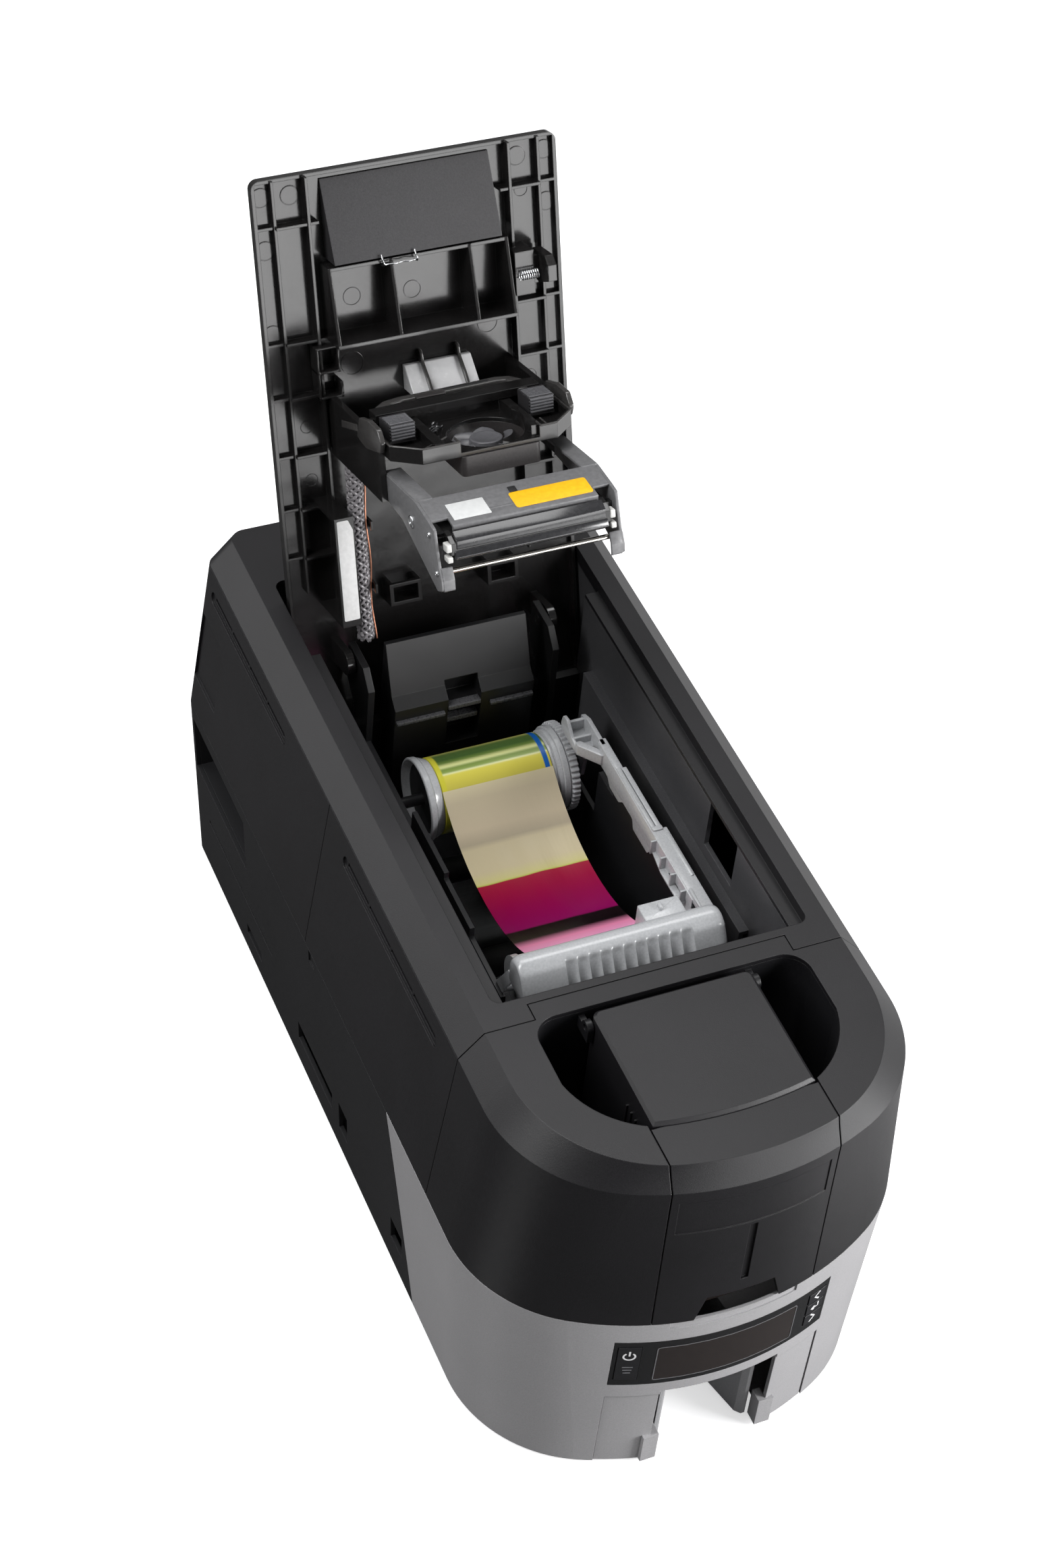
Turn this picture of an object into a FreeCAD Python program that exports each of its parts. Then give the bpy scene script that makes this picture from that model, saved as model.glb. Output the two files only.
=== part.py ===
import FreeCAD, Part
import math
import os

V = FreeCAD.Vector
os.makedirs("parts", exist_ok=True)

# Desk top id card printer with a hinged lid, shown open. Millimetres, Z up.
# While it is built X runs across, Y runs from the front to the rear and Z up
# from the desk. The lid and all it carries are built closed, then swung open.

# Driving dimensions of the body, level by level
body_length = 459.0
top_z = 224.0
shoulder_z = 210.8
seam_z = 115.5
bottom_z = 1.5
top_half = 88.7
shoulder_half = 100.7
seam_half = 110.6
bottom_half = 104.0
top_front = 8.0
shoulder_front = 2.0
bottom_front = 2.0
nose_radius = 150.0
corner_radius = 70.0
rear_radius = 8.0

# Driving dimensions of the lid and its hinge
lid_half = 77.7
lid_front = 123.0
lid_length = 291.0
hinge_y = 370.9
hinge_z = 202.7
lid_open_deg = 108.8

# Clearances shared by all pieces
wall = 2.4
seam = 0.5
rest_gap = 0.3
move_gap = 0.6
shaft_gap = 0.1
over = 6.0


def box(x0, x1, y0, y1, z0, z1):
    return Part.makeBox(x1 - x0, y1 - y0, z1 - z0, V(x0, y0, z0))


def both(x0, x1, y0, y1, z0, z1):
    return [box(x0, x1, y0, y1, z0, z1), box(-x1, -x0, y0, y1, z0, z1)]


def rod_x(x0, x1, y, z, r):
    return Part.makeCylinder(r, x1 - x0, V(x0, y, z), V(1, 0, 0))


def rod_y(x, z, y0, y1, r):
    return Part.makeCylinder(r, y1 - y0, V(x, y0, z), V(0, 1, 0))


def rod_z(x, y, z0, z1, r):
    return Part.makeCylinder(r, z1 - z0, V(x, y, z0), V(0, 0, 1))


def slab_x(points, x0, x1):
    corners = [V(x0, y, z) for y, z in points]
    face = Part.Face(Part.makePolygon(corners + corners[:1]))
    return face.extrude(V(x1 - x0, 0, 0))


def slab_z(points, z0, z1):
    corners = [V(x, y, z0) for x, y in points]
    face = Part.Face(Part.makePolygon(corners + corners[:1]))
    return face.extrude(V(0, 0, z1 - z0))


def slab_y(points, y0, y1):
    corners = [V(x, y0, z) for x, z in points]
    face = Part.Face(Part.makePolygon(corners + corners[:1]))
    return face.extrude(V(0, y1 - y0, 0))


# Points given as shares of a depth and a height, counted from one corner
def placed(shares, y0, z0, deep, high):
    return [(y0 + a * deep, z0 + b * high) for a, b in shares]


def join(shapes):
    whole = shapes[0].fuse(shapes[1:]) if len(shapes) > 1 else shapes[0]
    return whole.removeSplitter()


def round_box(x0, x1, y0, y1, z0, z1, r):
    solid = box(x0, x1, y0, y1, z0, z1)
    upright = [e for e in solid.Edges if abs(e.tangentAt(e.FirstParameter).z) == 1]
    return solid.makeFillet(r, upright)


# The plan outline at one level: a nose arc, two corner arcs, straight sides
def outline(z, half, front, inset):
    w = half - inset
    nose = nose_radius - inset
    corner = corner_radius - inset
    rear = rear_radius - inset / 2
    y0 = front + inset
    y1 = body_length - inset
    cx = w - corner
    reach = nose - corner
    cy = y0 + nose - math.sqrt(reach ** 2 - cx ** 2)
    turn = math.atan2(cx, y0 + nose - cy)
    meet_x = nose * math.sin(turn)
    meet_y = y0 + nose - nose * math.cos(turn)
    side = (turn + math.pi / 2) / 2
    mid_x = cx + corner * math.sin(side)
    mid_y = cy - corner * math.cos(side)
    cut = rear * (1 - math.sqrt(0.5))
    edges = [Part.Arc(V(-meet_x, meet_y, z), V(0, y0, z), V(meet_x, meet_y, z)).toShape()]
    edges.append(Part.Arc(V(meet_x, meet_y, z), V(mid_x, mid_y, z), V(w, cy, z)).toShape())
    edges.append(Part.makeLine(V(w, cy, z), V(w, y1 - rear, z)))
    edges.append(Part.Arc(V(w, y1 - rear, z), V(w - cut, y1 - cut, z), V(w - rear, y1, z)).toShape())
    edges.append(Part.makeLine(V(w - rear, y1, z), V(rear - w, y1, z)))
    edges.append(Part.Arc(V(rear - w, y1, z), V(cut - w, y1 - cut, z), V(-w, y1 - rear, z)).toShape())
    edges.append(Part.makeLine(V(-w, y1 - rear, z), V(-w, cy, z)))
    edges.append(Part.Arc(V(-w, cy, z), V(-mid_x, mid_y, z), V(-meet_x, meet_y, z)).toShape())
    return Part.Wire(edges)


levels = [
    (bottom_z, bottom_half, bottom_front),
    (seam_z, seam_half, 0),
    (shoulder_z, shoulder_half, shoulder_front),
    (top_z, top_half, top_front),
]


def body_solid(inset):
    return Part.makeLoft([outline(z, half, front, inset) for z, half, front in levels], True, True)


def body_ring(outer, inner):
    return body_solid(outer).cut(body_solid(inner))


wide = seam_half + over
long = body_length + over
skin = body_ring(0, wall)
room = body_solid(wall)
cap = body_solid(0).common(box(-wide, wide, -over, long, top_z - wall, top_z + over))
panel_skin = join([skin, cap])

# Upper body seams
front_seam_y = 107.5
step_seam_y = 117.0
step_half = 64.0
side_seam_y = 273.0


def front_zone(gap):
    zone = box(-wide, wide, -over, front_seam_y - gap, seam_z, top_z + over)
    return zone.fuse(box(gap - step_half, step_half - gap, -over, step_seam_y - gap, seam_z, top_z + over))


# Hopper well, door and cover in the nose
door_half = 41.2
door_rear_y = 34.0
door_low_z = seam_z + seam
well_half = 67.5
well_rear_y = 107.3
well_turn_y = 70.0
well_front_y = 36.5
well_floor_z = 150.0
well_inner_share = 0.62


def well_plan(grow, z0, z1):
    w = well_half + grow
    rear = well_rear_y + grow
    front = well_front_y - grow
    nose_x = door_half
    arc_x = nose_x + (w - nose_x) * well_inner_share
    arc_y = front + (well_turn_y - front) * (1 - well_inner_share) ** 0.5 * well_inner_share
    right = Part.Arc(V(nose_x, front, z0), V(arc_x, arc_y, z0), V(w, well_turn_y, z0)).toShape()
    left = Part.Arc(V(-w, well_turn_y, z0), V(-arc_x, arc_y, z0), V(-nose_x, front, z0)).toShape()
    corner = (rear - well_turn_y) / 3
    cut = corner * (1 - math.sqrt(0.5))
    turn_right = Part.Arc(V(w, rear - corner, z0), V(w - cut, rear - cut, z0), V(w - corner, rear, z0))
    turn_left = Part.Arc(V(corner - w, rear, z0), V(cut - w, rear - cut, z0), V(-w, rear - corner, z0))
    edges = [right, Part.makeLine(V(w, well_turn_y, z0), V(w, rear - corner, z0)), turn_right.toShape()]
    edges.append(Part.makeLine(V(w - corner, rear, z0), V(corner - w, rear, z0)))
    edges.append(turn_left.toShape())
    edges.append(Part.makeLine(V(-w, rear - corner, z0), V(-w, well_turn_y, z0)))
    edges.append(left)
    edges.append(Part.makeLine(V(-nose_x, front, z0), V(nose_x, front, z0)))
    return Part.Face(Part.Wire(edges)).extrude(V(0, 0, z1 - z0))


door_zone = box(-door_half, door_half, -over, well_front_y + over, seam_z - over, top_z + over)
front_cover = panel_skin.common(front_zone(0)).cut(door_zone)
front_cover = front_cover.cut(well_plan(0, top_z - over, top_z + over))
front_cover = front_cover.common(box(-wide, wide, -over, long, seam_z + seam, top_z + over))

# Tub that lines the well, open at the front for the door and cards
tub = well_plan(wall, well_floor_z - wall, top_z - wall)
tub = tub.cut(well_plan(0, well_floor_z, top_z))
tub = tub.cut(box(-door_half, door_half, -over, well_front_y + over, 0, top_z))
tub = tub.cut(front_cover)

# Hopper cover block, hinged at its rear, and the door that it carries
cover_half = 39.5
cover_front_y = 35.0
cover_rear_y = 103.0
cover_top_z = 226.0
cover_low_z = 156.0
cover_round = 4.0
cover_bow = 4.0
cover_edge = 1.5
visor_y = 100.0
visor_z = 221.5
visor_pin_r = 1.6
grip_ribs = 3
grip_pitch = 4.5
grip_rise = 0.9
grip_long = 14.0

block = box(-cover_half, cover_half, cover_front_y - cover_bow, cover_rear_y, cover_low_z, cover_top_z)
bow_r = (cover_half ** 2 + cover_bow ** 2) / (2 * cover_bow)
bow_zone = rod_z(0, cover_front_y - cover_bow + bow_r, cover_low_z, cover_top_z, bow_r)
block = block.common(bow_zone)
rear_corners = [e for e in block.Edges if abs(e.tangentAt(e.FirstParameter).z) == 1]
rear_corners = [e for e in rear_corners if e.Vertexes[0].Y > cover_rear_y - over]
block = block.makeFillet(cover_round, rear_corners)
top_edges = [e for e in block.Edges if min(v.Z for v in e.Vertexes) == cover_top_z]
block = block.makeChamfer(cover_edge, top_edges)
hollow = box(wall - cover_half, cover_half - wall, 0, cover_rear_y - wall, 0, cover_top_z - wall)
hopper_cover = block.cut(hollow)
grips = []
for side in (-1, 1):
    for i in range(grip_ribs):
        y = cover_front_y + grip_long + i * grip_pitch
        x = side * cover_half
        low = cover_top_z - 2 * grip_long
        grips.append(box(x - grip_rise, x + grip_rise, y, y + grip_rise, low, low + grip_long))
hopper_cover = join([hopper_cover] + grips)
visor_pins = [rod_x(cover_half - wall, cover_half + wall, visor_y, visor_z - wall, visor_pin_r)]
visor_pins.append(rod_x(-cover_half - wall, wall - cover_half, visor_y, visor_z - wall, visor_pin_r))
hopper_cover = join([hopper_cover] + visor_pins)
visor_axis_z = visor_z - wall

# Two lugs of the tub that hold the cover's pins
lug_wide = 3.0
lug_half_y = 3.5
lugs = []
lug_x = cover_half + move_gap
for side in (-1, 1):
    x0 = min(side * lug_x, side * (lug_x + lug_wide))
    lug_low_z = visor_axis_z - 2 * lug_half_y
    lug = box(x0, x0 + lug_wide, visor_y - lug_half_y, well_rear_y + wall, lug_low_z, visor_axis_z)
    lug = lug.fuse(rod_x(x0, x0 + lug_wide, visor_y, visor_axis_z, lug_half_y))
    lugs.append(lug.cut(rod_x(x0 - over, x0 + lug_wide + over, visor_y, visor_axis_z,
        visor_pin_r + shaft_gap)))
card_space = box(-cover_half - move_gap, cover_half + move_gap, -over, cover_rear_y + move_gap, 0, top_z)
hopper_well = join([tub.cut(card_space)] + lugs)

# Door panel with its top band, badge recess, slit and card notch
badge_half = 37.0
badge_low_z = 182.0
badge_high_z = 204.0
badge_deep = 0.5
slit_half = 1.9
slit_low_z = 140.0
slit_high_z = 180.0
slit_deep = 1.4
notch_top_half = 17.0
notch_low_half = 21.5
notch_z = 131.5
web_thick = 2.0
door_seam = 0.7
door_band = box(door_seam - door_half, door_half - door_seam, -over, door_rear_y, door_low_z, top_z + over)
hopper_door = panel_skin.common(door_band)
hopper_door = hopper_door.cut(bow_zone.common(box(-wide, wide, 0, door_rear_y + over, top_z - over,
    cover_top_z)))
badge = box(-badge_half, badge_half, -over, door_rear_y, badge_low_z, badge_high_z)
hopper_door = hopper_door.cut(body_ring(0, badge_deep).common(badge))
slit = box(-slit_half, slit_half, -over, well_front_y, slit_low_z, slit_high_z)
hopper_door = hopper_door.cut(body_ring(0, slit_deep).common(slit))
notch = [(-notch_low_half, door_low_z - over), (notch_low_half, door_low_z - over)]
notch += [(notch_low_half, door_low_z), (notch_top_half, notch_z)]
notch += [(-notch_top_half, notch_z), (-notch_low_half, door_low_z)]
notch_face = Part.Face(Part.makePolygon([V(x, -over, z) for x, z in notch + notch[:1]]))
hopper_door = hopper_door.cut(notch_face.extrude(V(0, door_rear_y + over, 0)))
web_x1 = cover_half - wall
webs = both(web_x1 - web_thick, web_x1, wall, cover_front_y + over, cover_low_z, top_z - wall - rest_gap)
webs = [w.common(room) for w in webs]
hopper_door = join([hopper_door] + webs)

# Top frame: the flat top and its chamfer, with the lid recess and ledge
recess_half = lid_half + 1.3
recess_gap = 1.3
recess_rear_gap = 2.2
recess_deep = 6.0
ledge_half = 72.0
ledge_thick = 2.2
ledge_front_y = 120.5
well_start_y = 366.0
lid_rear = lid_front + lid_length
ledge_z = top_z - recess_deep - rest_gap
recess_y0 = lid_front - recess_gap
recess_y1 = lid_rear + recess_rear_gap
recess_round = 5.0

rear_zone = box(-wide, wide, -over, long, shoulder_z, top_z + over).cut(front_zone(-seam))
top_frame = panel_skin.common(rear_zone)
recess = round_box(-recess_half, recess_half, recess_y0, recess_y1, ledge_z, top_z + over, recess_round)
top_frame = top_frame.cut(recess)
rabbet_x = recess_half + wall
rabbet_low_z = ledge_z - ledge_thick
rabbet = box(-rabbet_x, rabbet_x, recess_y0 - wall, recess_y1 + wall, rabbet_low_z, top_z - wall)
rabbet = rabbet.cut(recess)
rabbet = rabbet.cut(box(-ledge_half, ledge_half, lid_front, recess_y1 + over, 0, top_z))
rabbet = rabbet.cut(box(-recess_half, recess_half, well_start_y, recess_y1 + over, 0, top_z))
rabbet = rabbet.cut(front_zone(-seam))
top_frame = join([top_frame, rabbet])

# Side panels and the rear cover, with their slot vents
vent_low_z = 194.0
vent_high_z = 201.0
vent_deep = 1.2
vent_bar = 1.6
vent_bars = 4
front_vent_shares = (0.2876, 0.5359)
rear_vent_shares = (0.7298, 0.9608)
dish_shares = (0.9172, 0.9869)
dish_low_z = 136.0
dish_high_z = 179.0
dish_deep = 1.4


def vent_cut(span, side):
    y0, y1 = [share * body_length for share in span]
    x0 = -wide if side < 0 else ledge_half
    x1 = -ledge_half if side < 0 else wide
    z_mid = (vent_low_z + vent_high_z) / 2
    r = (vent_high_z - vent_low_z) / 2
    dish_zone = box(x0, x1, y0, y1, vent_low_z, vent_high_z)
    dish_zone = dish_zone.fuse([rod_x(x0, x1, y0, z_mid, r), rod_x(x0, x1, y1, z_mid, r)])
    cuts = [body_ring(0, vent_deep).common(dish_zone)]
    pitch = (y1 - y0) / vent_bars
    for i in range(vent_bars):
        slot_y0 = y0 + i * pitch + vent_bar / 2
        slot = box(x0, x1, slot_y0, slot_y0 + pitch - vent_bar, z_mid - r / 3, z_mid + r / 1.5)
        cuts.append(slot)
    return cuts


def side_panel(side):
    x0 = -wide if side < 0 else 0
    x1 = 0 if side < 0 else wide
    zone = box(x0, x1, front_seam_y + seam, side_seam_y - seam / 2, seam_z + seam, shoulder_z - rest_gap)
    return skin.common(zone).cut(vent_cut(front_vent_shares, side))


rear_cover = skin.common(box(-wide, wide, side_seam_y + seam / 2, long, seam_z + seam,
    shoulder_z - rest_gap))
for side in (-1, 1):
    rear_cover = rear_cover.cut(vent_cut(rear_vent_shares, side))
    x0 = -wide if side < 0 else ledge_half
    x1 = -ledge_half if side < 0 else wide
    y0, y1 = [share * body_length for share in dish_shares]
    rear_cover = rear_cover.cut(body_ring(0, dish_deep).common(box(x0, x1, y0, y1, dish_low_z,
        dish_high_z)))

# Lower body: grey front shell ahead of a swept line, black base behind it
grey_top_y = 159.5
grey_mid_y = 143.0
grey_low_y = 124.0
grey_mid_z = 62.0


def grey_zone(gap):
    p0 = V(-wide, grey_top_y - gap, seam_z)
    p1 = V(-wide, grey_mid_y - gap, grey_mid_z)
    p2 = V(-wide, grey_low_y - gap, bottom_z - over)
    edges = [Part.Arc(p0, p1, p2).toShape()]
    edges.append(Part.makeLine(p2, V(-wide, -over, bottom_z - over)))
    edges.append(Part.makeLine(V(-wide, -over, bottom_z - over), V(-wide, -over, seam_z)))
    edges.append(Part.makeLine(V(-wide, -over, seam_z), p0))
    return Part.Face(Part.Wire(edges)).extrude(V(2 * wide, 0, 0))


floor = body_solid(0).common(box(-wide, wide, -over, long, 0, bottom_z + wall))
lower = join([skin.common(box(-wide, wide, -over, long, 0, seam_z)), floor])
floor_z = bottom_z + wall

# Output bay between two legs, open in front and below
leg_inner = 30.4
leg_outer = 55.0
leg_top_z = 57.0
arch_z = 60.0
bay_turn_x = 20.5
bay_turn_y = 15.0
bay_mid_x = 15.0
bay_mid_y = 36.0
bay_rear_x = 12.0
bay_rear_y = 60.0
bay_wall = 2.0
leg_set = 0.7
leg_seam = 0.5
tab_wide = 4.0
tab_deep = 5.0
tab_high = 21.0

bay_plan = [(leg_inner, -over), (leg_inner, bottom_front + wall)]
bay_plan += [(bay_turn_x, bay_turn_y), (bay_mid_x, bay_mid_y)]
bay_plan.append((bay_rear_x, bay_rear_y))
bay_plan += [(-x, y) for x, y in reversed(bay_plan)]
bay_space = slab_z(bay_plan, bottom_z - over, arch_z)
front_floor_cut = box(-leg_inner - bay_wall, leg_inner + bay_wall, -over,
    bay_rear_y + bay_wall + seam, 0, floor_z)
front_shell = lower.common(grey_zone(seam / 2)).cut(bay_space)
front_shell = front_shell.cut(front_floor_cut)
leg_cut = both(leg_inner - over, leg_outer + leg_seam, -over, corner_radius, 0, leg_top_z)
front_shell = front_shell.cut([c.common(body_ring(0, wall + leg_set + rest_gap)) for c in leg_cut])


def leg_panel(side):
    low = min(side * leg_inner, side * leg_outer)
    high = max(side * leg_inner, side * leg_outer)
    plate = body_ring(leg_set, leg_set + wall)
    plate = plate.common(box(low, high, -over, corner_radius, bottom_z, leg_top_z - leg_seam))
    inner = min(side * leg_inner, side * (leg_inner - tab_wide))
    tab_y0 = bottom_front + 2 * wall
    tab = box(inner, inner + tab_wide, tab_y0, tab_y0 + tab_deep, bottom_z, tab_high)
    rib_low = min(side * (leg_inner - tab_wide), side * (leg_inner + tab_wide))
    rib = box(rib_low, rib_low + 2 * tab_wide, bottom_front + wall, tab_y0 + rest_gap, bottom_z, tab_high)
    return join([plate, rib, tab])


outer_plan = [(x + bay_wall if x > 0 else x - bay_wall, y) for x, y in bay_plan]
bay_rear_plan = slab_z(outer_plan, bottom_z, arch_z + bay_wall)
plate_x = bay_rear_x + bay_wall
rear_plate = box(-plate_x, plate_x, bay_rear_y, bay_rear_y + bay_wall, bottom_z, arch_z + bay_wall)
bay_front_y = bottom_front + 2 * wall + tab_deep + seam
output_bay = join([bay_rear_plan.cut(bay_space), rear_plate])
output_bay = output_bay.common(box(-wide, wide, bay_front_y, long, bottom_z, arch_z + over))

# Display panel, its glass and the buttons, all following the curved front
panel_half = 55.0
panel_low_z = 67.0
panel_high_z = 102.0
panel_deep = 1.8
glass_half = 36.0
glass_low_z = 70.0
glass_high_z = 97.0
glass_deep = 0.8
key_low_x = 43.0
key_high_x = 53.0
key_proud = 0.4
key_gap = 0.35
key_stem_r = 2.0
power_low_z = 72.0
power_high_z = 98.0


def front_piece(outer, inner, x0, x1, z0, z1):
    return body_ring(outer, inner).common(box(x0, x1, -over, corner_radius, z0, z1))


pocket = front_piece(0, panel_deep, -panel_half - seam / 2, panel_half + seam / 2, panel_low_z,
    panel_high_z)
front_shell = front_shell.cut(pocket)
shelf_half = 32.0
shelf_low_z = 111.5
shelf_deep = 0.8
front_shell = front_shell.cut(front_piece(0, shelf_deep, -shelf_half, shelf_half, shelf_low_z, seam_z))

panel = front_piece(0, panel_deep, -panel_half, panel_half, panel_low_z, panel_high_z)
glass_gap = rest_gap / 3
panel = panel.cut(front_piece(0, glass_deep + glass_gap, -glass_half, glass_half, glass_low_z,
    glass_high_z))
glass_x = glass_half - glass_gap
display_glass = front_piece(0, glass_deep, -glass_x, glass_x, glass_low_z, glass_high_z)


def key(side, z0, z1):
    low = min(side * key_low_x, side * key_high_x)
    cap_part = front_piece(-key_proud, panel_deep / 2, low, low + key_high_x - key_low_x, z0, z1)
    mid_x = low + (key_high_x - key_low_x) / 2
    stem = rod_y(mid_x, (z0 + z1) / 2, bottom_front + 3 * wall, bottom_front + 8 * wall, key_stem_r)
    return cap_part.fuse(stem).removeSplitter()


def key_hole(side, z0, z1):
    low = min(side * key_low_x, side * key_high_x)
    wide_key = key_high_x - key_low_x
    hole = box(low - key_gap, low + wide_key + key_gap, -over, corner_radius, z0 - key_gap, z1 + key_gap)
    return hole


nav_names = ["key_left", "key_enter", "key_right"]
nav_pitch = (power_high_z - power_low_z) / len(nav_names)
nav_spans = []
for i in range(len(nav_names)):
    z0 = power_low_z + i * nav_pitch + key_gap
    nav_spans.append((z0, z0 + nav_pitch - 3 * key_gap))
holes = [key_hole(-1, power_low_z, power_high_z)]
holes += [key_hole(1, z0, z1) for z0, z1 in nav_spans]
display_panel = panel.cut(holes)
front_shell = front_shell.cut(holes)

# Black base behind the grey shell, with grip holes, vents and a groove
grip_hole_deep = 16.0
groove_deep = 0.9
grip_hole_shares = (0.8017, 0.9782, 0.6061, 0.9177)
groove_shares = (0.7190, 0.9412, 0.3550, 0.3766)
latch_mark_shares = (0.5686, 0.5839, 0.9264, 0.9957)
low_vent_shares = [
    (0.5207, 0.6318, 0.1732, 0.2857),
    (0.4728, 0.4989, 0.1558, 0.3290),
    (0.3050, 0.3377, 0.1732, 0.3117),
    (0.7603, 0.8105, 0.1299, 0.1905),
]


# A zone of the side as shares of the body's length and the seam's height
def side_zone(shares):
    y0, y1, z0, z1 = shares
    return y0 * body_length, y1 * body_length, z0 * seam_z, z1 * seam_z


base_shell = lower.cut(grey_zone(-seam / 2))
under_x = bay_rear_x + over
base_shell = base_shell.cut(box(-under_x, under_x, -over, bay_rear_y + 2 * over, 0, floor_z))
for side in (-1, 1):
    x0 = -wide if side < 0 else bottom_half - over
    x1 = over - bottom_half if side < 0 else wide
    for hole in low_vent_shares + [grip_hole_shares]:
        base_shell = base_shell.cut(box(x0, x1, *side_zone(hole)))
    for mark in (groove_shares, latch_mark_shares):
        base_shell = base_shell.cut(body_ring(0, groove_deep).common(box(x0, x1, *side_zone(mark))))
inlet_half = 14.0
inlet_x = -62.0
inlet_low_z = 24.0
inlet_high_z = 46.0
port_half = 9.0
port_low_z = 26.0
port_high_z = 42.0
port_places = (8.0, 36.0)
outlet_y = body_length - 3 * wall
inlet_x0 = inlet_x - inlet_half
inlet_x1 = inlet_x + inlet_half
base_shell = base_shell.cut(box(inlet_x0, inlet_x1, outlet_y, long, inlet_low_z, inlet_high_z))
for x in port_places:
    base_shell = base_shell.cut(box(x - port_half, x + port_half, outlet_y, long, port_low_z, port_high_z))
base_shell = base_shell.removeSplitter()


# Grip cups behind the handle openings of the base
def grip_cup(side):
    y0, y1, z0, z1 = side_zone(grip_hole_shares)
    outer_x = seam_half
    x0 = bottom_half - grip_hole_deep
    cup = box(x0, outer_x, y0 - wall, y1 + wall, z0 - wall, z1 + wall)
    cup = cup.cut(box(x0 + wall, outer_x + over, y0, y1, z0, z1))
    if side < 0:
        cup = cup.mirror(V(0, 0, 0), V(1, 0, 0))
    return cup.common(room)


# Power inlet and data ports at the rear
socket_deep = 24.0
pin_half = 1.2
pin_long = 12.0
inlet_wall = 1.8
inlet_y0 = body_length - socket_deep
inlet_y1 = body_length - rest_gap
inlet_z0 = inlet_low_z + rest_gap
inlet_z1 = inlet_high_z - rest_gap
power_inlet = box(inlet_x0 + rest_gap, inlet_x1 - rest_gap, inlet_y0, inlet_y1, inlet_z0, inlet_z1)
mouth_z0 = inlet_low_z + inlet_wall
mouth_z1 = inlet_high_z - inlet_wall
mouth_y = inlet_y1 - pin_long - wall
mouth = box(inlet_x0 + inlet_wall, inlet_x1 - inlet_wall, mouth_y, inlet_y1 + over, mouth_z0, mouth_z1)
power_inlet = power_inlet.cut(mouth)
inlet_mid_z = (inlet_low_z + inlet_high_z) / 2
pin_pitch = 7.0
pins = []
for i in (-1, 0, 1):
    z = inlet_mid_z + (pin_pitch / 3 if i == 0 else -pin_pitch / 3)
    x = inlet_x + i * pin_pitch
    pin_y0 = inlet_y1 - pin_long - 2 * wall
    pins.append(box(x - pin_half, x + pin_half, pin_y0, inlet_y1 - wall, z - 2 * pin_half,
        z + 2 * pin_half))
power_inlet = join([power_inlet] + pins)


def data_port(x):
    outer = port_half - rest_gap
    inner = port_half - 2 * pin_half
    z0 = port_low_z + 2 * pin_half
    z1 = port_high_z - 2 * pin_half
    back_y = inlet_y1 - pin_long
    shell = box(x - outer, x + outer, inlet_y0 + wall, inlet_y1, port_low_z + rest_gap,
        port_high_z - rest_gap)
    shell = shell.cut(box(x - inner, x + inner, back_y, inlet_y1 + over, z0, z1))
    low = port_low_z + 4 * pin_half
    tongue = box(x - port_half / 2, x + port_half / 2, back_y - pin_half, inlet_y1 - wall, low,
        low + pin_half)
    return join([shell, tongue])


strip_y1 = inlet_y1 - socket_deep / 2
port_strip = box(*port_places, inlet_y0 + wall, strip_y1, port_low_z + rest_gap, port_low_z + wall)
data_ports = join([data_port(x) for x in port_places] + [port_strip])

# Feet under the floor
foot_r = 8.0
foot_x = 78.0
foot_shares = (0.2789, 0.9259)

# Steel chassis plate on the floor with two side frames of the print path
plate_thick = 2.0
plate_half = 92.0
plate_y0 = 84.0
plate_y1_share = 0.9760
frame_x0 = 50.5
frame_thick = 2.5
frame_x1 = frame_x0 + frame_thick
frame_y0 = 136.0
frame_y1 = 346.0
frame_top_z = 180.0
plate_top = floor_z + plate_thick
platen_y = 264.0
platen_z = 72.6
platen_r = 8.0
roller_r = 7.0
roller_z = platen_z + platen_r - roller_r
in_roller_y = 158.0
out_roller_y = 330.0
axle_r = 3.0
supply_y = 312.0
supply_z = 155.0
takeup_y = 182.0
takeup_z = 157.0
roller_half = 40.0
motor_y = 210.0
motor_z = 40.0

chassis_plate = box(-plate_half, plate_half, plate_y0, plate_y1_share * body_length, floor_z, plate_top)
top_left_shares = [
    (0, 0.8277), (0.1429, 0.8277), (0.1429, 0.9426), (0.3333, 0.9426), (0.3333, 0.977),
    (0.4952, 0.977), (0.4952, 1), (0.7, 1), (0.7, 0.9368), (1, 0.9368),
]
top_right_shares = [
    (0, 0.7932), (0.2952, 0.7932), (0.2952, 0.954), (0.3714, 0.954), (0.3714, 1),
    (0.6381, 1), (0.6381, 0.9426), (0.7238, 0.9426), (0.7238, 0.7817), (1, 0.7817),
]


def side_frame(side):
    shares = top_left_shares if side < 0 else top_right_shares
    top = placed(shares, frame_y0, plate_top, frame_y1 - frame_y0, frame_top_z - plate_top)
    points = [(frame_y1, plate_top), (frame_y0, plate_top)] + top
    x0 = frame_x0 if side > 0 else -frame_x1
    plate = slab_x(points, x0, x0 + frame_thick)
    ends = sorted([side * frame_x0, side * (frame_x1 + 4 * wall)])
    plate = plate.fuse(box(*ends, frame_y0, frame_y1, plate_top, plate_top + plate_thick))
    bores = [(platen_y, platen_z), (in_roller_y, roller_z), (out_roller_y, roller_z)]
    if side < 0:
        bores += [(supply_y, supply_z), (takeup_y, takeup_z), (motor_y, motor_z)]
    for y, z in bores:
        plate = plate.cut(rod_x(x0 - over, x0 + frame_thick + over, y, z, axle_r + shaft_gap))
    return plate.removeSplitter()


def roller(y, z, r):
    body = rod_x(-roller_half, roller_half, y, z, r)
    return join([body, rod_x(-frame_x1, frame_x1, y, z, axle_r)])


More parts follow.
